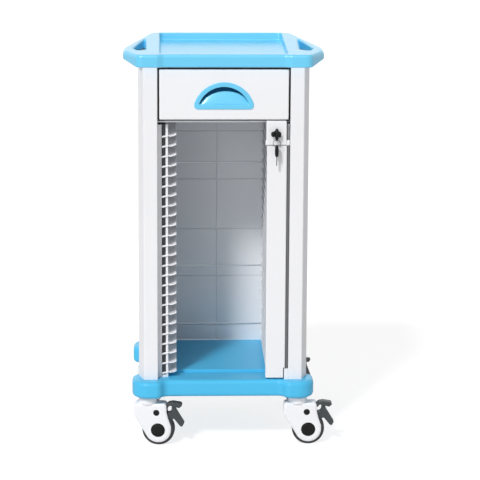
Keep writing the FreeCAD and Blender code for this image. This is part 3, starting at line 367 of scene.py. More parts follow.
def sideways(a, b, c):
    """Plan coordinates to space: the plane faces the side, a is depth, b is height and c is across."""
    return np.stack([c, a, b], axis=-1)


def upright(flat, depth):
    """Points of a plan that faces the front, all at one depth or each at its own."""
    return facing(*flat.T, np.broadcast_to(depth, len(flat)))


def castor_place(corner):
    """Coordinates about one castor: along its trail, height, and across, turned to its resting heading."""
    swivel = JOINT[f"{corner}_swivel"]["pos_m"]
    across = JOINT[f"{corner}_roll"]["axis"]

    def place(a, b, c):
        x = swivel[0] + a * across[1] + c * across[0]
        y = swivel[1] - a * across[0] + c * across[1]
        return np.stack([x, y, b], axis=-1)

    return place


def inside(points, ring):
    """True for points inside a closed ring, by counting the ring's sides to the right of each."""
    x, y = points[:, 0, None], points[:, 1, None]
    x0, y0 = ring[:, 0], ring[:, 1]
    x1, y1 = np.roll(x0, -1), np.roll(y0, -1)
    spans = (y0 > y) != (y1 > y)
    with np.errstate(divide="ignore", invalid="ignore"):
        crossing = x0 + (y - y0) * (x1 - x0) / (y1 - y0)
    return (np.where(spans, crossing > x, False).sum(axis=1) % 2).astype(bool)


class Solid:
    """One closed surface made of grids and caps, welded where they meet."""

    def __init__(self):
        self.points = []
        self.faces = []
        self.total = 0

    def add(self, points, faces):
        self.points.append(points)
        if faces.shape[1] == 3:
            faces = np.hstack([faces, faces[:, :1]])
        self.faces.append(faces + self.total)
        self.total += len(points)

    def grid(self, points, around=True, along=False):
        """Four-sided faces over rows and columns of points; around and along join the last to the first."""
        rows, columns = points.shape[:2]
        index = np.arange(rows * columns).reshape(rows, columns)
        if around:
            index = np.hstack([index, index[:, :1]])
        if along:
            index = np.vstack([index, index[:1]])
        corners = (index[:-1, :-1], index[:-1, 1:], index[1:, 1:], index[1:, :-1])
        self.add(points.reshape(-1, 3), np.stack(corners, axis=-1).reshape(-1, 4))

    def band(self, loop, outset, height, place=lying):
        """Rings of the loop moved out by each outset at each height; returns the first and the last ring."""
        outset = outset if outset.ndim == 2 else outset[:, None]
        flat = loop.points[None] + outset[..., None] * loop.normals[None]
        height = np.broadcast_to(height if height.ndim == 2 else height[:, None], flat.shape[:2])
        spots = place(flat[..., 0], flat[..., 1], height)
        self.grid(spots)
        return (flat[0], spots[0]), (flat[-1], spots[-1])

    def wall(self, loop, low, high, place=lying, soft_low=0.0, soft_high=0.0, hole=False, steps=4):
        """The wall along a loop from low to high, with both rims rounded; low may differ along the loop.

        Near a face it follows a quarter ellipse, whose size is soft, or a pair of how far it draws in and how
        far it goes down. The rims of a hole open instead of drawing in.
        """
        low, high = np.atleast_1d(low)[None], np.atleast_1d(high)[None]
        count = len(loop.points)
        in_low, up = (np.broadcast_to(side, (len(side), count)) for side in quarter(soft_low, steps))
        in_high, down = (np.broadcast_to(side, (len(side), count)) for side in quarter(soft_high, steps))
        inset = np.concatenate([in_low, in_high[::-1]])
        height = np.concatenate([low + up, high - down[::-1]])
        return self.band(loop, inset if hole else -inset, height, place)

    def triangles(self, plans, extra=None):
        """Triangles inside the first plan and outside the others: the points, their origins, the faces."""
        flat = np.concatenate(plans if extra is None else [*plans, extra])
        starts = np.cumsum([0] + [len(plan) for plan in plans])
        sides = [
            np.stack([start + np.arange(len(plan)), start + (np.arange(len(plan)) + 1) % len(plan)], axis=1)
            for start, plan in zip(starts, plans)
        ]
        made = delaunay_2d_cdt(
            [Vector(spot) for spot in flat.tolist()], np.concatenate(sides).tolist(), [], 0, 1e-7
        )
        spots = np.array([tuple(spot) for spot in made[0]])
        if not all(made[3]):
            crossing = [tuple(spot) for spot, ids in zip(made[0], made[3]) if not ids]
            raise RuntimeError(f"rings cross near {crossing[0]}")
        origin = np.array([ids[0] for ids in made[3]])
        faces = np.array([face for face in made[2] if len(face) == 3])
        middle = spots[faces].mean(axis=1)
        keep = inside(middle, plans[0])
        for plan in plans[1:]:
            keep &= ~inside(middle, plan)
        return spots, origin, faces[keep]

    def cap(self, ends):
        """Close the region between rings, the outermost first; each is its plan and its points in space."""
        _, origin, faces = self.triangles([plan for plan, _ in ends])
        self.add(np.concatenate([spots for _, spots in ends])[origin], faces)

    def field(self, plan, spacing, surface, line):
        """Close a ring with a surface over its plan, on points along a line and on a grid clear of both."""
        low, high = plan.min(axis=0), plan.max(axis=0)
        x, y = np.meshgrid(*(np.arange(start + spacing, end, spacing) for start, end in zip(low, high)))
        spots = np.stack([x.ravel(), y.ravel()], axis=1)
        kept = self.clear(line, plan, plan, 0.3 * spacing)
        spots = self.clear(spots, plan, np.concatenate([plan, kept]), 0.5 * spacing)
        spots, _, faces = self.triangles([plan], np.concatenate([kept, spots]))
        self.add(surface(spots), faces)

    def clear(self, spots, plan, others, distance):
        """The spots that lie inside the plan and further than a distance from the others."""
        spots = spots[inside(spots, plan)]
        return spots[np.linalg.norm(spots[:, None] - others[None], axis=2).min(axis=1) > distance]

    def welded(self):
        """The points without doubles, and the faces as lists, without those that shrank to a line."""
        points = np.concatenate(self.points)
        faces = np.concatenate(self.faces)
        _, first, which = np.unique(np.round(points / 2e-6), axis=0, return_index=True, return_inverse=True)
        faces = which.reshape(-1)[faces]
        double = faces == np.roll(faces, -1, axis=1)
        doubles = double.sum(axis=1)
        triangles = faces[doubles == 1][~double[doubles == 1]].reshape(-1, 3)
        return points[first], faces[doubles == 0].tolist() + triangles.tolist()


def quarter(soft, steps=4):
    """A quarter ellipse over an edge, face first: inset·(1 − sin a) in, rise·(1 − cos a) down, a up to 90°.

    Each comes as a column of steps, or where the softness differs along a loop as a column for each point.
    """
    inset, rise = (np.atleast_1d(side)[None] for side in (soft if isinstance(soft, tuple) else (soft, soft)))
    if inset.max() <= 0:
        return inset, rise
    angle = np.linspace(0, math.pi / 2, steps + 1)[:, None]
    return inset * (1 - np.sin(angle)), rise * (1 - np.cos(angle))


def fillet(radius):
    """A quarter circle that is the same all along an edge: how far in and how far down at each step."""
    return (side[:, 0] for side in quarter(radius))


def slab(loop, low, high, place=lying, soft_low=0.0, soft_high=0.0, holes=(), steps=4):
    """A plate with the loop's outline between two heights, its rims rounded as a wall's."""
    solid = Solid()
    walls = [
        solid.wall(edge, low, high, place, soft_low, soft_high, hole=number > 0, steps=steps)
        for number, edge in enumerate([loop, *holes])
    ]
    for end in (0, 1):
        solid.cap([wall[end] for wall in walls])
    return solid


def ring(profile, centre, place, count=64, along=False):
    """A profile of radius and across carried round a hub: centre plus radius times cosine and sine.

    The profile closes on itself with along; otherwise it starts and ends on the axis.
    """
    radius, across = np.array(profile).T
    angle = whole_turn(count)[None]
    a = centre[0] + radius[:, None] * np.cos(angle)
    b = centre[1] + radius[:, None] * np.sin(angle)
    solid = Solid()
    solid.grid(place(a, b, np.broadcast_to(across[:, None], a.shape)), along=along)
    return solid


def lobe(centre, radii, square):
    """A pillow: each coordinate is its radius times cosine and sine of the angles, raised to 2 / square."""
    v = np.linspace(-math.pi / 2, math.pi / 2, 14)[:, None]
    u = whole_turn(20)[None]

    def power(value):
        return np.sign(value) * np.abs(value) ** (2 / square)

    a = centre[0] + radii[0] * power(np.cos(v)) * power(np.cos(u))
    c = centre[2] + radii[2] * power(np.cos(v)) * power(np.sin(u))
    b = centre[1] + radii[1] * power(np.sin(v)) + 0 * u
    solid = Solid()
    solid.grid(facing(a, b, c))
    return solid


def piece(name, solids, finish, node=None, body=None, sharp=38.0):
    """A finished object of several solids, which rides on a body and stands for the CAD node, if any."""
    points, faces, total = [], [], 0
    for solid in solids:
        spots, sides = solid.welded()
        points.append(spots)
        faces += [[total + corner for corner in side] for side in sides]
        total += len(spots)
    mesh = bpy.data.meshes.new(name)
    mesh.from_pydata(np.concatenate(points).tolist(), [], faces)
    work = bmesh.new()
    work.from_mesh(mesh)
    bmesh.ops.recalc_face_normals(work, faces=work.faces)
    work.to_mesh(mesh)
    work.free()
    mesh.materials.append(FINISHES[finish])
    mesh.shade_smooth()
    mesh.set_sharp_from_angle(angle=math.radians(sharp))
    made = bpy.data.objects.new(name, mesh)
    bpy.context.scene.collection.objects.link(made)
    weighted = made.modifiers.new("flat_faces", "WEIGHTED_NORMAL")
    weighted.keep_sharp = True
    stands_for = (node,) if node else ()
    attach(made, body or BODY[stands_for[0]])
    if stands_for:
        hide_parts(*stands_for)
    return made


def dress(*nodes):
    """Give CAD nodes that keep their own shape the finish of their slot."""
    for node in nodes:
        data = frame["nodes"][node].data
        data.materials.clear()
        data.materials.append(FINISHES[SLOT[node]])


def eased(share):
    """A share held between 0 and 1 that starts and stops smoothly: share²·(3 − 2·share)."""
    share = np.clip(share, 0, 1)
    return share * share * (3 - 2 * share)


def reach(node, axis=0):
    """How far a node's near and far sides are from the middle, along an axis."""
    return sorted(abs(corner[axis]) for corner in BOX[node])


def sizes():
    """The scene's size settings."""
    return bpy.context.scene.rack_sizes


class RackOperator(bpy.types.Operator):
    """Shared settings of the operators below."""

    bl_options = {"REGISTER", "UNDO"}


# ---------------------------------------------------------------- stage

AMBIENT = 0.37
WHITE_IN_GLOSS = 0.94
FLOOR_GLOW = 1.53
# name, strength, spread in degrees, and where it stands: to the side, in front and up
LAMPS = (
    ("key", 1.92, 9.0, (-0.455, 0.89, 0.95)),
    ("fill", 0.38, 30.0, (-0.45, 1.0, 0.2)),
    ("back_light", 0.25, 60.0, (-0.1, -1.0, 0.36)),
)


class RACK_OT_stage(RackOperator):
    """Make the floor, the light and the camera, and the finishes that every piece shares"""

    bl_idname = "rack.stage"
    bl_label = "Stage"

    def execute(self, context):
        make_finishes(context.scene.rack_colours)
        self.floor()
        self.world(context.scene)
        self.lamps(context.scene)
        self.camera(context.scene)
        context.scene.view_settings.view_transform = "Standard"
        return {"FINISHED"}

    def floor(self):
        """A pale floor: to the camera half of it is its own light, so it is white with soft shadows."""
        far = 40.0
        mesh = bpy.data.meshes.new("floor")
        mesh.from_pydata([(x, y, 0) for y in (-far, far) for x in (-far, far)], [], [(0, 1, 3, 2)])
        made = bpy.data.objects.new("floor", mesh)
        bpy.context.scene.collection.objects.link(made)
        finish = Finish("floor_paint", (0.86, 0.86, 0.86), 0.9, Specular_IOR_Level=0.0)
        finish.gloss(finish.noise(3.0), 0.03)
        glow = finish.node("ShaderNodeEmission", inputs={"Color": (1, 1, 1, 1), "Strength": FLOOR_GLOW})
        seen = finish.node("ShaderNodeLightPath", output="Is Camera Ray")
        mix = finish.node("ShaderNodeMixShader", inputs={"Fac": seen * 0.5})
        tree = finish.tree
        tree.links.new(finish.shader.outputs[0], mix.socket.node.inputs[1])
        tree.links.new(glow.socket, mix.socket.node.inputs[2])
        output = next(node for node in tree.nodes if node.type == "OUTPUT_MATERIAL")
        tree.links.new(mix.socket, output.inputs["Surface"])
        mesh.materials.append(finish.material)

    def world(self, scene):
        """White to the camera, a little less in reflections, and a plain softer light on the object."""
        world = bpy.data.worlds.new("studio")
        scene.world = world
        world.use_nodes = True
        tree = world.node_tree
        path = tree.nodes.new("ShaderNodeLightPath")
        camera, gloss, through = (
            Wire(tree, path.outputs[f"Is {kind} Ray"]) for kind in ("Camera", "Glossy", "Transmission")
        )
        white = camera.larger(gloss * WHITE_IN_GLOSS).larger(through)
        strength = white * (1.0 - AMBIENT) + AMBIENT
        tree.nodes["Background"].inputs["Color"].default_value = (1, 1, 1, 1)
        tree.links.new(strength.socket, tree.nodes["Background"].inputs["Strength"])

    def lamps(self, scene):
        """A key from the upper left in front, a low fill beside it, and a wide light from behind."""
        for name, strength, spread, (side, front, height) in LAMPS:
            lamp = bpy.data.lights.new(name, "SUN")
            lamp.energy = strength
            lamp.angle = math.radians(spread)
            made = bpy.data.objects.new(name, lamp)
            aim = Vector((-side, front, -height))
            made.location = -aim
            made.rotation_euler = aim.to_track_quat("-Z", "Y").to_euler()
            scene.collection.objects.link(made)

    def camera(self, scene):
        """A long lens a little left of the middle, looking down on the rack."""
        lens = bpy.data.cameras.new("camera")
        lens.sensor_width = 36.0
        lens.lens = 178.65
        lens.clip_end = 200.0
        made = bpy.data.objects.new("camera", lens)
        yaw, pitch, roll = (math.radians(angle) for angle in (1.94, 12.75, 0.31))
        turn = (
            Matrix.Rotation(-yaw, 4, "Z")
            @ Matrix.Rotation(math.pi / 2 - pitch, 4, "X")
            @ Matrix.Rotation(roll, 4, "Z")
        )
        spot = (-0.155, -5.970, 1.841)
        made.matrix_world = Matrix.Translation(spot) @ turn
        scene.collection.objects.link(made)
        scene.camera = made


# ---------------------------------------------------------------- top tray


class RACK_OT_tray(RackOperator):
    """Moulded tray top with a recess and a loop handle on each side"""

    bl_idname = "rack.tray"
    bl_label = "Tray"

    def execute(self, context):
        low, high = BOX["top_tray"]
        column = BOX["rear_right_column"][1]
        edge = sizes().tray_edge
        handle = high[2] - sizes().handle_height
        shell = Solid()
        outer = rounded(mirrored([
            (0.150, low[1] + 0.006, 0.012), (0.164, low[1], 0.012), (0.2135, low[1], 0.020),
            (high[0], -0.130, 0.036), (high[0], -0.074, 0.060), (0.180, high[1], 0.030),
        ]), 0.1)
        x, y = outer.points.T
        # the underside is level behind, and comes down to the apron's foot at the front
        drop_start, drop_length = -0.164, 0.028
        under = handle + (low[2] - handle) * eased((drop_start - y) / drop_length)
        # the handles' bars are rounder than the rest of the rim
        grip_start, grip_length = 0.205, 0.03
        grip = eased((np.abs(x) - grip_start) / grip_length) * (y < 0)
        walls = [shell.wall(
            outer, under, high[2], soft_low=0.0035 + 0.0025 * grip, steps=6,
            soft_high=(edge + 0.003 * grip, 1.3 * edge + 0.004 * grip),
        )]
        corners = [
            (0.1945, 0.070, 0.002), (0.1945, -0.098, 0.010), (0.2025, -0.126, 0.006), (0.2135, -0.124, 0.007),
            (0.2250, -0.084, 0.014), (0.2085, 0.015, 0.040), (0.1990, 0.065, 0.002),
        ]
        for sense in (1, -1):
            hole = rounded(flipped(corners, sense))
            x, y = hole.points.T
            # a wide slope leads into the hole from its inner side
            slope = np.clip((0.200 - np.abs(x)) / 0.005, 0, 1) * np.clip((0.064 - y) / 0.006, 0, 1)
            walls.append(shell.wall(
                hole, handle, high[2], soft_low=0.003, hole=True, steps=6,
                soft_high=(0.0042 + 0.0115 * slope, 0.006 + 0.012 * slope),
            ))
        shell.cap([wall[1] for wall in walls] + [self.recess(shell, high[2])])
        shell.cap([wall[0] for wall in walls])
        side, rear = column[0] + 0.001, column[1] + 0.002
        front = low[1] + 0.012
        right = (
            (0.150, front), (0.214, front), (0.214, -0.150), (0.183, -0.137), (0.183, 0.118), (side, 0.118),
            (side, rear), (0.168, rear), (0.160, high[1] - 0.004),
        )
        outline = rounded(mirrored([(*corner, 0.004) for corner in right]))
        apron = slab(outline, low[2], handle + 0.003, soft_low=0.0025)
        # it casts no shadow, so that the drawer front and the posts stay evenly lit right up to it
        piece("tray_shell", [shell, apron], "blue_shell", node="top_tray").visible_shadow = False
        return {"FINISHED"}

    def recess(self, shell, top):
        """The recess: rounded over at the rim, a little draft down the wall, and filleted into its floor."""
        size = sizes()
        half, draft = size.tray_recess_half, 0.0012
        loop = rectangle((-half, half), (size.tray_recess_front, size.tray_recess_rear), 0.010, 0.12)
        floor = top - size.tray_recess_depth
        over, down = fillet(0.0045)
        outset = np.concatenate([over, -draft - down])
        rim, foot = shell.band(loop, outset, np.concatenate([top - down, floor + over]))
        shell.cap([foot])
        return rim


# ---------------------------------------------------------------- base


class RACK_OT_base(RackOperator):
    """Moulded base with four lobed corners, a low deck and a hollow underside"""

    bl_idname = "rack.base"
    bl_label = "Base"

    def execute(self, context):
        low, high = BOX["base_tray"]
        size = sizes()
        top = BOX["rear_right_column"][0][2]
        half, depth = high[0], high[1]
        waist_x, waist_y = half - size.lobe_step_side, depth - size.lobe_step_front
        ramp, bend = 0.016, 0.018
        inner_x, inner_y = half - size.lobe_width, depth - size.lobe_width - 0.012
        rear = [
            (waist_x, inner_y - ramp, bend), (half, inner_y, bend), (half, depth, 0.042),
            (inner_x, depth, bend), (inner_x - ramp, waist_y, bend),
        ]
        front = [(x, -y, radius) for x, y, radius in reversed(rear)]
        shell = Solid()
        foot, rim = shell.wall(
            rounded(mirrored(front + rear), 0.1), low[2], top,
            soft_low=(0.0085, 0.0095), soft_high=size.base_edge, steps=6,
        )
        deck_half, deck_front, deck_rear = 0.136, -0.112, BOX["back_panel"][0][1] + 0.0005
        deck = rectangle((-deck_half, deck_half), (deck_front, deck_rear), 0.010)
        over, down = (side[::-1] for side in fillet(0.0012))
        height = np.concatenate([top + over, high[2] - down])
        deck_foot, deck_top = shell.band(deck, np.concatenate([down, -over]), height)
        shell.cap([rim, deck_foot])
        shell.cap([deck_top])
        skin, chamfer = 0.012, 0.001
        hollow = self.hollow(waist_x - skin, waist_y - skin)
        height = np.array([low[2], low[2] + chamfer, top - 0.010])
        mouth, ceiling = shell.band(hollow, np.array([chamfer, 0.0, 0.0]), height)
        shell.cap([foot, mouth])
        shell.cap([ceiling])
        piece("base_shell", [shell], "blue_base", node="base_tray")
        return {"FINISHED"}

    def hollow(self, half, depth):
        """The underside's mouth: a rectangle joined with a round seat at each castor, as one curve."""
        centre = np.abs(JOINT["front_right_swivel"]["pos_m"][:2])
        radius = 0.024
        side = math.sqrt(radius ** 2 - (half - centre[0]) ** 2)
        rear = math.sqrt(radius ** 2 - (depth - centre[1]) ** 2)
        angle = np.linspace(math.atan2(-side, half - centre[0]), math.atan2(depth - centre[1], -rear), 14)
        arc = centre + radius * spokes(angle)
        right = np.concatenate([arc[::-1] * (1, -1), arc])
        return rounded([(x, y, 0) for x, y in np.concatenate([right, right[::-1] * (-1, 1)])])


# ---------------------------------------------------------------- columns, panels, racks

FIRST_LEDGE, LEDGE_PITCH, LEDGE_COUNT = 0.1869, 0.0253, 25
LEDGE_LEVELS = [FIRST_LEDGE + LEDGE_PITCH * step for step in range(LEDGE_COUNT)]


class RACK_OT_columns(RackOperator):
    """Four extruded corner columns with a slanted outer face"""

    bl_idname = "rack.columns"
    bl_label = "Columns"

    def execute(self, context):
        edge, skin, fine = sizes().column_edge, 0.0025, 0.001
        for corner in CORNERS:
            node = f"{corner}_column"
            low, high = BOX[node]
            side, end = (1 if at > 0 else -1 for at in low[:2])
            inner, outer = reach(node)
            rear, front = reach(node, 1)
            outline = flipped([
                (inner, front, edge), (outer - 0.0135, front, 0.004), (outer, rear + 0.022, 0.006),
                (outer, rear, edge), (inner, rear, edge),
            ], side, end)
            bore = flipped([
                (inner + skin, front - skin, fine), (outer - 0.0155, front - skin, fine),
                (outer - skin, rear + 0.0215, fine), (outer - skin, rear + skin, fine),
                (inner + skin, rear + skin, fine),
            ], side, end)
            post = slab(rounded(outline, 0.25), low[2], high[2], holes=[rounded(bore, 0.8)])
            piece(f"{corner}_post", [post], "white_metal", node=node)
        return {"FINISHED"}


class RACK_OT_ledges(RackOperator):
    """Both chart racks: full-depth plates, moulded ledges, and the ladder-like strips at the front"""

    bl_idname = "rack.ledges"
    bl_label = "Ledges"

    def execute(self, context):
        for sense, side in ((-1, "left"), (1, "right")):
            self.plate(sense, side)
            self.shelves(sense, side)
            self.strip(sense, side)
        return {"FINISHED"}

    def plate(self, sense, side):
        """The plate that carries the ledges, with a flange near its rear edge."""
        node = f"{side}_rack_plate"
        low, high = BOX[node]
        inner, outer = reach(node)
        skin, fine = inner + 0.006, 0.0006
        outline = flipped([
            (inner, low[1], fine), (skin, low[1], fine), (skin, 0.140, 0.001), (outer, 0.140, fine),
            (outer, 0.146, fine), (skin, 0.146, 0.001), (skin, high[1], fine), (inner, high[1], fine),
        ], sense)
        sheet = slab(rounded(outline, 0.8), low[2], high[2], soft_high=fine, steps=1)
        piece(f"{side}_plate", [sheet], "white_plastic", node=node)

    def shelves(self, sense, side):
        """The ledges: each droops from its root, sags a little, and ends in a raised lip."""
        node = f"{side}_chart_ledges"
        low, high = BOX[node]
        tip, root = reach(node)
        middle = (tip + root) / 2
        skin, sag, lip, droop, soft = 0.0030, 0.0014, 0.0016, 0.0022, sizes().ledge_edge
        solids = []
        for level in LEDGE_LEVELS:
            outline = rounded(flipped([
                (root, level - droop, 0), (middle + 0.004, level - sag - droop, 0.006),
                (middle - 0.004, level - sag, 0.006), (tip + 0.0022, level + lip, 0.0008),
                (tip, level + lip, 0.0008), (tip, level - skin / 2, 0.001),
                (middle - 0.005, level - sag - skin, 0.006),
                (middle + 0.005, level - sag - skin - droop, 0.006), (root, level - skin - droop, 0),
            ], sense), 2.0)
            solids.append(slab(outline, low[1], high[1], facing, soft_low=soft, soft_high=soft, steps=1))
        piece(f"{side}_ledges", solids, "white_plastic", node=node)

    def strip(self, sense, side):
        """The strip at the plate's front edge: grooved web, slanting fins, a rung at the foot, and a dark sheet of
        painted shade.
        """
        node = f"{side}_rack_edge"
        low, high = BOX[node]
        inner, outer = reach(node)
        face, web, groove, fine = low[1], outer - 0.010, 0.0009, 0.0008
        corners = [(web, face, fine)]
        for middle in (web + 0.0032, web + 0.0066):
            steps = ((-groove, 0), (0, groove), (groove, 0))
            corners += [(middle + step, face + sunk, 0.0002) for step, sunk in steps]
        corners += [(outer, face, 0.0005), (outer, high[1], 0.0005), (web, high[1], 0.0005)]
        solids = [slab(rounded(flipped(corners, sense), 0.8), low[2], high[2], steps=1)]
        start, tip = outer - 0.0105, inner - 0.0065
        for level in LEDGE_LEVELS:
            fin = rounded(flipped([
                (start, level - 0.0088, fine), (tip, level - 0.0058, fine), (tip, level - 0.0018, fine),
                (start, level - 0.0050, fine),
            ], sense), 0.8)
            solids.append(slab(fin, face - 0.0004, face + 0.006, facing, soft_low=fine, steps=1))
        across = sorted((sense * inner, sense * start))
        rung = rectangle(across, (face + 0.001, face + 0.006), 0)
        solids.append(slab(rung, low[2], low[2] + 0.006, soft_high=0.0012, steps=1))
        piece(f"{side}_strip", solids, "white_plastic", node=node)
        # a dark sheet behind the strip's windows: painted shade, for the shadow in the hollow behind them
        shade_backing = rectangle(across, (face + 0.0095, face + 0.0110), 0)
        piece(f"{side}_window_shade", [slab(shade_backing, low[2], high[2], steps=1)], "dark_grey_plastic", body="frame")


class RACK_OT_panels(RackOperator):
    """Side panels' finish, and the back panel with its creases and three raised beads"""

    bl_idname = "rack.panels"
    bl_label = "Panels"

    def execute(self, context):
        dress("left_side_panel", "right_side_panel")
        low, high = BOX["back_panel"]
        half, sunk, foot = 0.0013, 0.0024, BOX["base_tray"][1][2] + 0.0002
        creases, middle = (0.2175, 0.3522, 0.4802, 0.6140, 0.7423), -0.0092
        level = np.unique([foot, high[2]] + [z + step for z in creases for step in (-half, 0, half)])
        x, z = np.meshgrid([low[0], middle - half, middle, middle + half, high[0]], level)
        dip = sum(sunk * np.clip(1 - np.abs(z - crease) / half, 0, 1) for crease in creases)
        dip = np.where(np.abs(x - middle) < 1e-6, sunk, dip)
        faces = [facing(x, z, low[1] + dip), facing(x, z, np.full_like(x, high[1]))]
        shell = Solid()
        for face in faces:
            shell.grid(face, around=False)
        for axis in (0, 1):
            for edge in (0, -1):
                shell.grid(np.stack([np.take(face, edge, axis) for face in faces]), around=False)
        piece("back_sheet", [shell], "panel_grey", node="back_panel", sharp=25.0)
        depth = (low[1] - 0.0016, low[1] + 0.001)
        beads = [
            slab(rectangle(depth, (z - 0.0012, z + 0.0012), 0.001), low[0] + 0.004, high[0] - 0.004, sideways)
            for z in (0.2215, 0.3809, 0.6590)
        ]
        piece("back_beads", beads, "chrome", body="frame")
        return {"FINISHED"}


class RACK_OT_hidden(RackOperator):
    """Finishes of the parts that keep their shapes: shelf, drawer box, slides, frames, rods and lock parts"""

    bl_idname = "rack.hidden"
    bl_label = "Inner parts"

    def execute(self, context):
        dress(
            "base_frame", "top_frame", "column_tie_rods", "drawer_shelf", "drawer_box", "left_slide_outer",
            "right_slide_outer", "left_slide_inner", "right_slide_inner", "lock_bar_pins",
            "lock_bar_lower_bracket", "lock_bar_upper_bracket", "lock_strike", "lock_plug", "lock_cam",
        )
        return {"FINISHED"}


# ---------------------------------------------------------------- drawer


def arch(inset=0.0):
    """The pull's outline: a flat foot, short sides, and an arc over the top that meets them in smaller arcs.

    A shoulder arc's centre is radius − shoulder from the top arc's centre, and shoulder in from the side. An
    inset moves every side in by the same distance, and the arcs keep their centres while they can.
    """
    low, high = BOX["drawer_pull"]
    rise = 0.054
    outer = (high[0] ** 2 + rise ** 2) / (2 * rise)
    middle = high[2] - outer
    half, foot, radius = high[0] - inset, low[2] + inset, outer - inset
    shoulder, corner = max(0.016 - inset, 0.006), max(0.009 - inset, 0.003)
    lift = math.sqrt((radius - shoulder) ** 2 - (half - shoulder) ** 2)
    low_turn, high_turn = (half - corner, foot + corner), (half - shoulder, middle + lift)
    if high_turn[1] < low_turn[1]:
        shoulder = corner
        across = math.sqrt((radius - corner) ** 2 - (low_turn[1] - middle) ** 2)
        low_turn = high_turn = (across, low_turn[1])
    meet = math.atan2(high_turn[1] - middle, high_turn[0])
    arcs = (
        (low_turn, corner, -math.pi / 2, 0, 6),
        (high_turn, shoulder, 0, meet, 4),
        ((0, middle), radius, meet, math.pi - meet, 40),
        ((-high_turn[0], high_turn[1]), shoulder, math.pi - meet, math.pi, 4),
        ((-low_turn[0], low_turn[1]), corner, math.pi, 1.5 * math.pi, 6),
    )
    points, normals = [], []
    for centre, size, start, end, count in arcs:
        normal = spokes(np.linspace(start, end, count))
        points.append(np.array(centre) + size * normal)
        normals.append(normal)
    return Loop(np.concatenate(points), np.concatenate(normals))


class RACK_OT_drawer(RackOperator):
    """Moulded drawer front with a pocket for the pull"""

    bl_idname = "rack.drawer"
    bl_label = "Drawer front"

    def execute(self, context):
        low, high = BOX["drawer_front"]
        gap_side, gap_top = 0.0005, 0.0022
        outline = rectangle((low[0] + gap_side, high[0] - gap_side), (low[2], high[2] - gap_top), 0.003)
        face = Solid()
        front, back = face.wall(
            outline, low[1], high[1], facing, soft_low=sizes().front_edge, soft_high=0.001
        )
        # the pull's rim laps over the pocket's edge
        lap, pocket = 0.0032, np.array([low[1], high[1] - 0.003])
        mouth, floor = face.band(arch(), np.array([-lap, -lap]), pocket, facing)
        for ends in ([front, mouth], [floor], [back]):
            face.cap(ends)
        piece("drawer_face", [face], "white_plastic", node="drawer_front")
        return {"FINISHED"}


class RACK_OT_gap_shade(RackOperator):
    """Black strip behind the drawer front's upper edge and sides: painted shade that darkens the gaps round the
    drawer
    """

    bl_idname = "rack.seal"
    bl_label = "Drawer gap shade"

    def execute(self, context):
        low, high = BOX["drawer_front"]
        clear, fine = 0.0002, 0.0004
        column = BOX["front_right_column"][0][0] - clear
        tray = BOX["top_tray"][0][2] - clear
        face = low[1] + 0.002
        side, top = high[0] + 0.0003, high[2] - 0.0014
        outline = rounded([
            (side, low[2], fine), (column, low[2], fine), (column, tray, fine), (-column, tray, fine),
            (-column, low[2], fine), (-side, low[2], fine), (-side, top, 0.0015), (side, top, 0.0015),
        ], 0.6)
        # a black strip just behind the drawer face: painted shade in the gaps above and beside the drawer
        strip = slab(outline, face, face + 0.006, facing)
        piece("drawer_seal", [strip], "black_plastic", body=BODY["drawer_front"])
        return {"FINISHED"}


class RACK_OT_pull(RackOperator):
    """Inset pull: a raised rim round a scoop that slopes up and back under the arch"""

    bl_idname = "rack.pull"
    bl_label = "Drawer pull"

    # the scoop drops into the finger pocket over this height
    LIP = 0.0012

    def execute(self, context):
        face = BOX["drawer_front"][0][1]
        proud, width, back = BOX["drawer_pull"][0][1], sizes().pull_rim, face + 0.0148
        over, down = fillet(0.0018)
        inset = np.concatenate([[0.0], over[::-1], width - over, [width, width - 0.003, width - 0.003]])
        depth = np.concatenate([[face], proud + down[::-1], proud + down, [face + 0.002, face + 0.002, face]])
        rim = Solid()
        rim.grid(np.stack([upright(arch(step).points, at) for step, at in zip(inset, depth)]), along=True)
        flat = arch(width - 0.0015).points
        rear = upright(flat, back)
        cup = Solid()
        cup.grid(np.stack([upright(flat, self.depth(flat)), rear]))
        cup.cap([(flat, rear)])
        across = np.linspace(flat[:, 0].min(), flat[:, 0].max(), 120)
        creases = np.concatenate([self.line(across, 0), self.line(across, self.LIP)])
        cup.field(flat, 0.0025, lambda spots: upright(spots, self.depth(spots)), creases)
        piece("pull_cup", [rim, cup], "blue_shell", node="drawer_pull")
        # a dark navy sheet across the pocket above the scoop's edge: painted shade, where the pocket lies in
        # shadow under the arch
        upper = flat[flat[:, 1] > self.brow(flat[:, 0]) + 0.0016]
        lower = self.line(np.linspace(upper[:, 0].min(), upper[:, 0].max(), 40), 0.0013)
        outline = np.concatenate([lower, upper[np.argsort(-upper[:, 0])]])
        shade_sheet = slab(rounded([(x, z, 0) for x, z in outline]), face + 0.0100, face + 0.0136, facing)
        piece("pull_lining", [shade_sheet], "blue_depth", body=BODY["drawer_pull"])
        return {"FINISHED"}

    def line(self, across, lift):
        """Points of a plan along the scoop's upper edge, or a little above it."""
        return np.stack([across, self.brow(across) + lift], axis=1)

    def brow(self, across):
        """Height of the scoop's upper edge: an arc that comes nearer to the rim towards its ends."""
        centre, radius = (0.0045, 0.8190), 0.0850
        return centre[1] + np.sqrt(np.maximum(radius ** 2 - (across - centre[0]) ** 2, 0))

    def depth(self, spot):
        """How far back the surface lies: the scoop falls back to its edge, and the pocket above is deep."""
        face = BOX["drawer_front"][0][1]
        foot = BOX["drawer_pull"][0][2] + sizes().pull_rim
        brow = self.brow(spot[:, 0])
        part = np.clip((spot[:, 1] - foot) / np.maximum(brow - foot, 0.004), 0, 1)
        beyond = np.clip((spot[:, 1] - brow) / self.LIP, 0, 1)
        near, fall, pocket = 0.0012, 0.0065, 0.0140
        scoop = near + fall * part ** 1.3
        return face + scoop + (pocket - scoop) * beyond


# ---------------------------------------------------------------- lock bar and keys


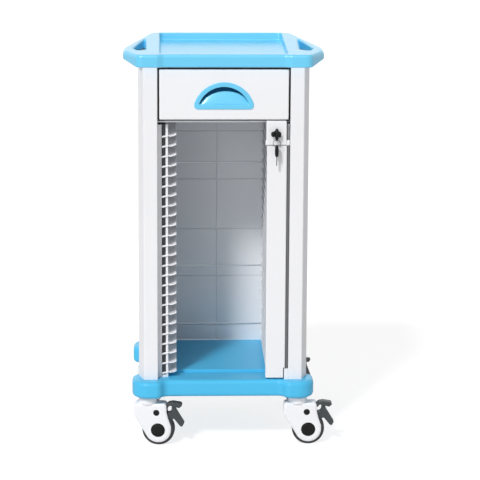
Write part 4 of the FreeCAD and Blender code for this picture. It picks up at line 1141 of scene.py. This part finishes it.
class RACK_OT_lock_bar(RackOperator):
    """Hinged bar, its lock block, the barrel's rim, and the hinge knuckle beside it"""

    bl_idname = "rack.lock_bar"
    bl_label = "Lock bar"

    def execute(self, context):
        low, high = BOX["lock_bar"]
        notch, right = 0.152, 0.156
        step = BOX["lock_bar_lower_bracket"][1][2] + 0.002
        depth, soft = (low[1], high[1]), 0.0022
        lower = slab(rectangle((low[0], notch), depth, soft), low[2], step, soft_low=0.001)
        upper = slab(rectangle((low[0], right), depth, soft), step, high[2] - 0.0014)
        piece("bar_tube", [lower, upper], "white_metal", node="lock_bar")

        hinge = JOINT["lock_bar_hinge"]["pos_m"]
        knuckle = high[0] - hinge[0]
        leaf = (hinge[1] - 0.001, hinge[1] + 0.002)
        solids = [slab(rectangle((right - 0.0005, hinge[0]), leaf, 0.0004), step, high[2])]
        span, count, gap, soft = high[2] - step, 7, 0.0002, 0.0005
        for n in range(count):
            start = step + span * n / count
            end = start + span / count - gap
            tube = circle(hinge[:2], knuckle, 20)
            solids.append(slab(tube, start + gap, end, soft_low=soft, soft_high=soft))
        piece("bar_hinge", solids, "hinge", body="lock_bar")

        low, high = BOX["lock_block"]
        centre = JOINT["lock_turn"]["pos_m"][::2]
        left, tab, fine = 0.105, low[2] + 0.0125, 0.0006
        block = slab(
            rectangle((left, left + 0.050), (low[2], high[2]), 0.0025), low[1], high[1], facing,
            soft_low=0.0025, soft_high=0.001, holes=[circle(centre, 0.008, 40)],
        )
        ear = slab(circle(hinge[:2], knuckle, 24), low[2], tab, soft_high=fine)
        web = slab(rectangle((left + 0.049, hinge[0]), leaf, 0.0004), low[2], tab)
        stub = slab(rectangle((low[0], left + 0.001), (-0.184, -0.180), 0.0008), low[2], tab, soft_high=fine)
        piece("block_body", [block, ear, web, stub], "white_plastic", node="lock_block")

        face, back = BOX["lock_body"][0][1], BOX["lock_body"][1][1]
        outer, inner = 0.0095, 0.0056
        rim = ring([
            (inner, back), (0.008, back), (0.008, face + 0.0015), (outer, face + 0.0015),
            (outer, face + 0.0006), (outer - 0.0006, face), (0.0072, face), (0.0064, face + 0.0006),
            (inner, face + 0.0008),
        ], centre, facing, along=True)
        piece("lock_rim", [rim], "steel", node="lock_body")
        return {"FINISHED"}


class RACK_OT_keys(RackOperator):
    """The key in the lock, the ring on it, and the spare key that hangs from the ring"""

    bl_idname = "rack.keys"
    bl_label = "Keys"

    def execute(self, context):
        x, _, z = JOINT["lock_turn"]["pos_m"]
        head = lobe((x, z, -0.1975), (0.00475, 0.0145, 0.008), 3.2)
        wing = lobe((x - 0.0085, z + 0.0005, -0.1965), (0.0056, 0.0068, 0.003), 2.6)
        # a black lobe right of the head: painted shade, where the head's shadow falls beside it
        shade_wing = lobe((x + 0.0070, z - 0.0005, -0.1965), (0.0042, 0.0070, 0.003), 2.6)
        lug = self.lug(x, JOINT["ring_swing"]["pos_m"][1:], 0.0034)
        piece("key_head", [head, wing, shade_wing, lug], "black_plastic", node="key")
        outline = rectangle((x - 0.0011, x + 0.0011), (z - 0.0038, z + 0.0038), 0.0004)
        blade = slab(outline, -0.192, BOX["key"][1][1], facing)
        piece("key_blade", [blade], "chrome", body=BODY["key"])

        low, high = BOX["key_ring"]
        wire = (high[1] - low[1]) / 2
        middle = (low + high) / 2
        radius = (high[0] - low[0]) / 2 - wire
        section = np.array((radius, middle[1])) + wire * spokes(whole_turn(12))
        loop = ring(section, middle[::2], facing, count=56, along=True)
        piece("key_ring_wire", [loop], "hinge", node="key_ring")

        depth, eye = JOINT["spare_key_swing"]["pos_m"][1:]
        foot, top, half = BOX["spare_key"][0][2], eye - 0.001, 0.0012
        head = lobe((x, top - 0.0085, depth), (0.00475, 0.0150, 0.008), 3.2)
        outline = rectangle((depth - 0.0028, depth + 0.0028), (top - 0.004, eye - 0.0017), 0.0005)
        neck = slab(outline, x - half, x + half, sideways)
        lug = self.lug(x, (depth, eye), 0.0032)
        piece("spare_head", [head, lug, neck], "black_plastic", node="spare_key")
        near, far, root = depth - 0.0038, depth + 0.0038, top - 0.022
        corners = (
            (near, foot + 0.0055), (depth - 0.001, foot + 0.0025), (far, foot + 0.0045), (far, root),
            (near, root),
        )
        outline = rounded([(*corner, 0.0004) for corner in corners])
        blade = slab(outline, x - 0.0011, x + 0.0011, sideways)
        piece("spare_blade", [blade], "hinge", body=BODY["spare_key"])
        return {"FINISHED"}

    def lug(self, x, eye, radius):
        """The flat eye on a key's head that the ring goes through."""
        hole = circle(eye, 0.0015, 16)
        return slab(circle(eye, radius, 24), x - 0.0012, x + 0.0012, sideways, holes=[hole], steps=1)


# ---------------------------------------------------------------- castors

# the wheel's middle: how far it trails behind the swivel, and how high it is, which is the tyre's radius too
HUB = (0.027, 0.041)


def pin(radius, half, centre, place, count):
    """A plain pin across a castor."""
    return ring([(0, -half), (radius, -half), (radius, half), (0, half)], centre, place, count)


def pair(profile, centre, place, count):
    """A cap at each end of a pin."""
    return [ring([(r, side * across) for r, across in profile], centre, place, count) for side in (1, -1)]


def symmetric(half):
    """A profile with its mirror image across the wheel."""
    return half + [(r, -across) for r, across in reversed(half)]


class RACK_OT_castors(RackOperator):
    """Four braked swivel castors: moulded shells, hub caps, wheels, tyres and pedals"""

    bl_idname = "rack.castors"
    bl_label = "Castors"

    def execute(self, context):
        for corner in CORNERS:
            place = castor_place(corner)
            self.shell(corner, place)
            self.caps(corner, place)
            self.wheel(corner, place)
            self.pedal(corner, place)
        return {"FINISHED"}

    def shell(self, corner, place):
        """The housing: a cheek on each side, a hood between them over the wheel, and the swivel's collar."""
        cover = sizes().wheel_cover
        outer, inner, well = 0.019, 0.015, 0.0435
        foot, rear = HUB[1] - cover, HUB[0] + cover
        top = [(0.048, 0.110, 0.0078), (-0.035, 0.110, 0.0078), (-0.035, 0.080, 0.020)]
        outline = rounded([
            *top, (0.0081, foot, cover), (rear, foot, cover - 0.0001), (rear, 0.050, 0.0085),
            (0.053, 0.070, 0.012), (0.049, 0.086, 0.012),
        ], 0.12)
        soft = (0.007, 0.0036)
        near = slab(outline, -outer, -inner, place, soft_low=soft)
        far = slab(outline, inner, outer, place, soft_high=soft)
        arc = np.array(HUB) + well * spokes(np.radians(np.linspace(166.0, 106.0, 12)))
        roof = 0.102
        hood = rounded([(0.048, roof, 0), *top, *((a, b, 0) for a, b in arc), (0.015, roof, 0)], 0.12)
        middle = slab(hood, -inner, inner, place)
        collar = ring([
            (0, 0.109), (0.024, 0.109), (0.024, 0.1225), (0.0225, 0.124), (0.006, 0.124), (0.006, 0.1555),
            (0.0055, 0.156), (0, 0.156),
        ], JOINT[f"{corner}_swivel"]["pos_m"][:2], lying, count=48)
        piece(f"{corner}_housing", [near, far, middle, collar], "white_plastic", node=f"{corner}_castor_fork")

    def caps(self, corner, place):
        """The hub's round cap on each cheek, and the axle between them."""
        domes = pair([
            (0, 0.0205), (0.010, 0.0204), (0.0155, 0.02), (0.0176, 0.0195), (0.0182, 0.0188),
            (0.0182, 0.0184), (0, 0.0184),
        ], HUB, place, 40)
        axle = pin(0.004, 0.0188, HUB, place, 24)
        piece(f"{corner}_hub_caps", [axle, *domes], "black_plastic", node=f"{corner}_castor_axle")

    def wheel(self, corner, place):
        """The wheel's dished core, and the tyre with a bead, round shoulders and two grooves."""
        core = symmetric([
            (0.0042, 0.013), (0.010, 0.013), (0.0115, 0.0095), (0.024, 0.0085), (0.0262, 0.012),
            (0.0295, 0.0128), (0.0299, 0.012),
        ])
        wheel = ring(core, HUB, place, count=48, along=True)
        piece(f"{corner}_core", [wheel], "dark_grey_plastic", node=f"{corner}_castor_wheel")
        radius, half, soft = HUB[1], 0.013, 0.006
        side = [(0.030, half), (0.0325, half), (0.0331, half - 0.0007), (0.0337, half)]
        turn = np.linspace(0, math.pi / 2, 6)
        shoulder = [(radius - soft + soft * math.sin(a), half - soft + soft * math.cos(a)) for a in turn]
        groove = [(radius, 0.0040), (0.0402, 0.0036), (0.0402, 0.0030), (radius, 0.0026)]
        tyre = ring(symmetric(side + shoulder + groove), HUB, place, along=True)
        piece(f"{corner}_tread", [tyre], "tyre_grey", node=f"{corner}_castor_tyre")

    def pedal(self, corner, place):
        """The brake pedal: a paddle to press, a pad above it to lift it again, and the pin they turn on."""
        paddle = rounded([
            (0.023, 0.083, 0), (0.046, 0.071, 0.002), (0.053, 0.0655, 0.004), (0.061, 0.0655, 0.004),
            (0.066, 0.0695, 0.003), (0.083, 0.049, 0.003), (0.088, 0.0485, 0.003), (0.0925, 0.0575, 0.003),
            (0.074, 0.088, 0.006), (0.0705, 0.094, 0.003), (0.0705, 0.104, 0), (0.061, 0.104, 0),
            (0.0605, 0.092, 0.003), (0.058, 0.086, 0.004), (0.050, 0.084, 0.004), (0.045, 0.088, 0.004),
            (0.023, 0.0915, 0),
        ], 0.3)
        pad = rounded([
            (0.0455, 0.0975, 0.0022), (0.051, 0.097, 0.002), (0.056, 0.1035, 0.004), (0.066, 0.101, 0.004),
            (0.080, 0.0975, 0.003), (0.0875, 0.1035, 0.003), (0.0845, 0.1095, 0.0032), (0.064, 0.1125, 0.006),
            (0.053, 0.1105, 0.005), (0.0465, 0.1045, 0.004),
        ], 0.3)
        pads = [
            slab(plan, -half, half, place, soft_low=soft, soft_high=soft)
            for plan, half, soft in ((paddle, 0.0092, 0.0014), (pad, 0.011, 0.0016))
        ]
        piece(f"{corner}_pedal_pads", pads, "dark_grey_plastic", node=f"{corner}_castor_pedal")
        pivot = (0.023, 0.0865)
        caps = [(0, 0.0203), (0.005, 0.0202), (0.0076, 0.0197), (0.0081, 0.0188), (0, 0.0188)]
        pivots = [pin(0.003, 0.0195, pivot, place, 20), *pair(caps, pivot, place, 28)]
        piece(f"{corner}_pedal_pin", pivots, "black_plastic", body=BODY[f"{corner}_castor_pedal"])


# ---------------------------------------------------------------- fasteners


def screw_head(centre, radius, height):
    """A domed head with a cross recess, seen from behind the rack.

    The dome falls with the square of the radius, and the cross is cut in where the distance to either arm's
    middle line is small.
    """
    share = np.linspace(0, 1, 8)[:, None]
    angle = whole_turn(24)[None]
    a, b = radius * share * np.cos(angle), radius * share * np.sin(angle)
    arm = np.minimum(np.abs(a), np.abs(b))
    within = np.clip((0.62 * radius - np.hypot(a, b)) / (0.1 * radius), 0, 1)
    cross = np.clip((0.17 * radius - arm) / (0.08 * radius), 0, 1) * within
    rise = height * (1 - 0.75 * share ** 2) - 0.55 * height * cross
    base = np.zeros_like(angle)
    a, b = np.concatenate([a, a[-1:], base]), np.concatenate([b, b[-1:], base])
    solid = Solid()
    solid.grid(facing(centre[0] + a, centre[1] + b, centre[2] + np.concatenate([rise, base, base])))
    return solid


class RACK_OT_fasteners(RackOperator):
    """Screws behind the back panel and inside the drawer front"""

    bl_idname = "rack.fasteners"
    bl_label = "Fasteners"

    def execute(self, context):
        low, high = BOX["back_panel_screws"]
        x = high[0] - 0.004
        heads = [
            screw_head((side * x, level, low[1]), 0.004, high[1] - low[1])
            for level in (0.230, 0.420, 0.610, 0.800)
            for side in (-1, 1)
        ]
        piece("panel_screw_heads", heads, "steel", node="back_panel_screws")
        low, high = BOX["drawer_front_screws"]
        heads, neck = [], high[1] - 0.0019
        shank = [(0, low[1]), (0.002, low[1] + 0.001), (0.002, neck), (0, neck)]
        for x in (-0.120, 0.120):
            for level in (0.855, 0.925):
                heads.append(screw_head((x, level, high[1] - 0.002), 0.004, 0.002))
                heads.append(ring(shank, (x, level), facing, count=16))
        piece("front_screw_heads", heads, "steel", node="drawer_front_screws")
        return {"FINISHED"}


# ---------------------------------------------------------------- panel and registration

OPERATORS = (
    RACK_OT_stage, RACK_OT_tray, RACK_OT_base, RACK_OT_columns, RACK_OT_ledges, RACK_OT_panels,
    RACK_OT_hidden, RACK_OT_drawer, RACK_OT_gap_shade, RACK_OT_pull, RACK_OT_lock_bar, RACK_OT_keys,
    RACK_OT_castors, RACK_OT_fasteners,
)


class RACK_PT_sidebar(bpy.types.Panel):
    """Sidebar panel that lists the settings and the steps"""

    bl_idname = "RACK_PT_sidebar"
    bl_label = "Chart Rack"
    bl_space_type = "VIEW_3D"
    bl_region_type = "UI"
    bl_category = "Chart Rack"

    def draw(self, context):
        layout = self.layout
        for group in (context.scene.rack_sizes, context.scene.rack_colours):
            column = layout.column(align=True)
            for name in group.bl_rna.properties.keys():
                if name not in ("rna_type", "name"):
                    column.prop(group, name)
        for operator in OPERATORS:
            layout.operator(operator.bl_idname)


CLASSES = (RackSizes, RackColours, *OPERATORS, RACK_PT_sidebar)


def register():
    """Register the settings, the operators and the panel."""
    for cls in CLASSES:
        bpy.utils.register_class(cls)
    bpy.types.Scene.rack_sizes = bpy.props.PointerProperty(type=RackSizes)
    bpy.types.Scene.rack_colours = bpy.props.PointerProperty(type=RackColours)


def unregister():
    """Take them off again."""
    del bpy.types.Scene.rack_colours
    del bpy.types.Scene.rack_sizes
    for cls in reversed(CLASSES):
        bpy.utils.unregister_class(cls)


def main():
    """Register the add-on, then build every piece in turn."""
    register()
    for operator in OPERATORS:
        group, name = operator.bl_idname.split(".")
        getattr(getattr(bpy.ops, group), name)()


if __name__ == "__main__":
    main()
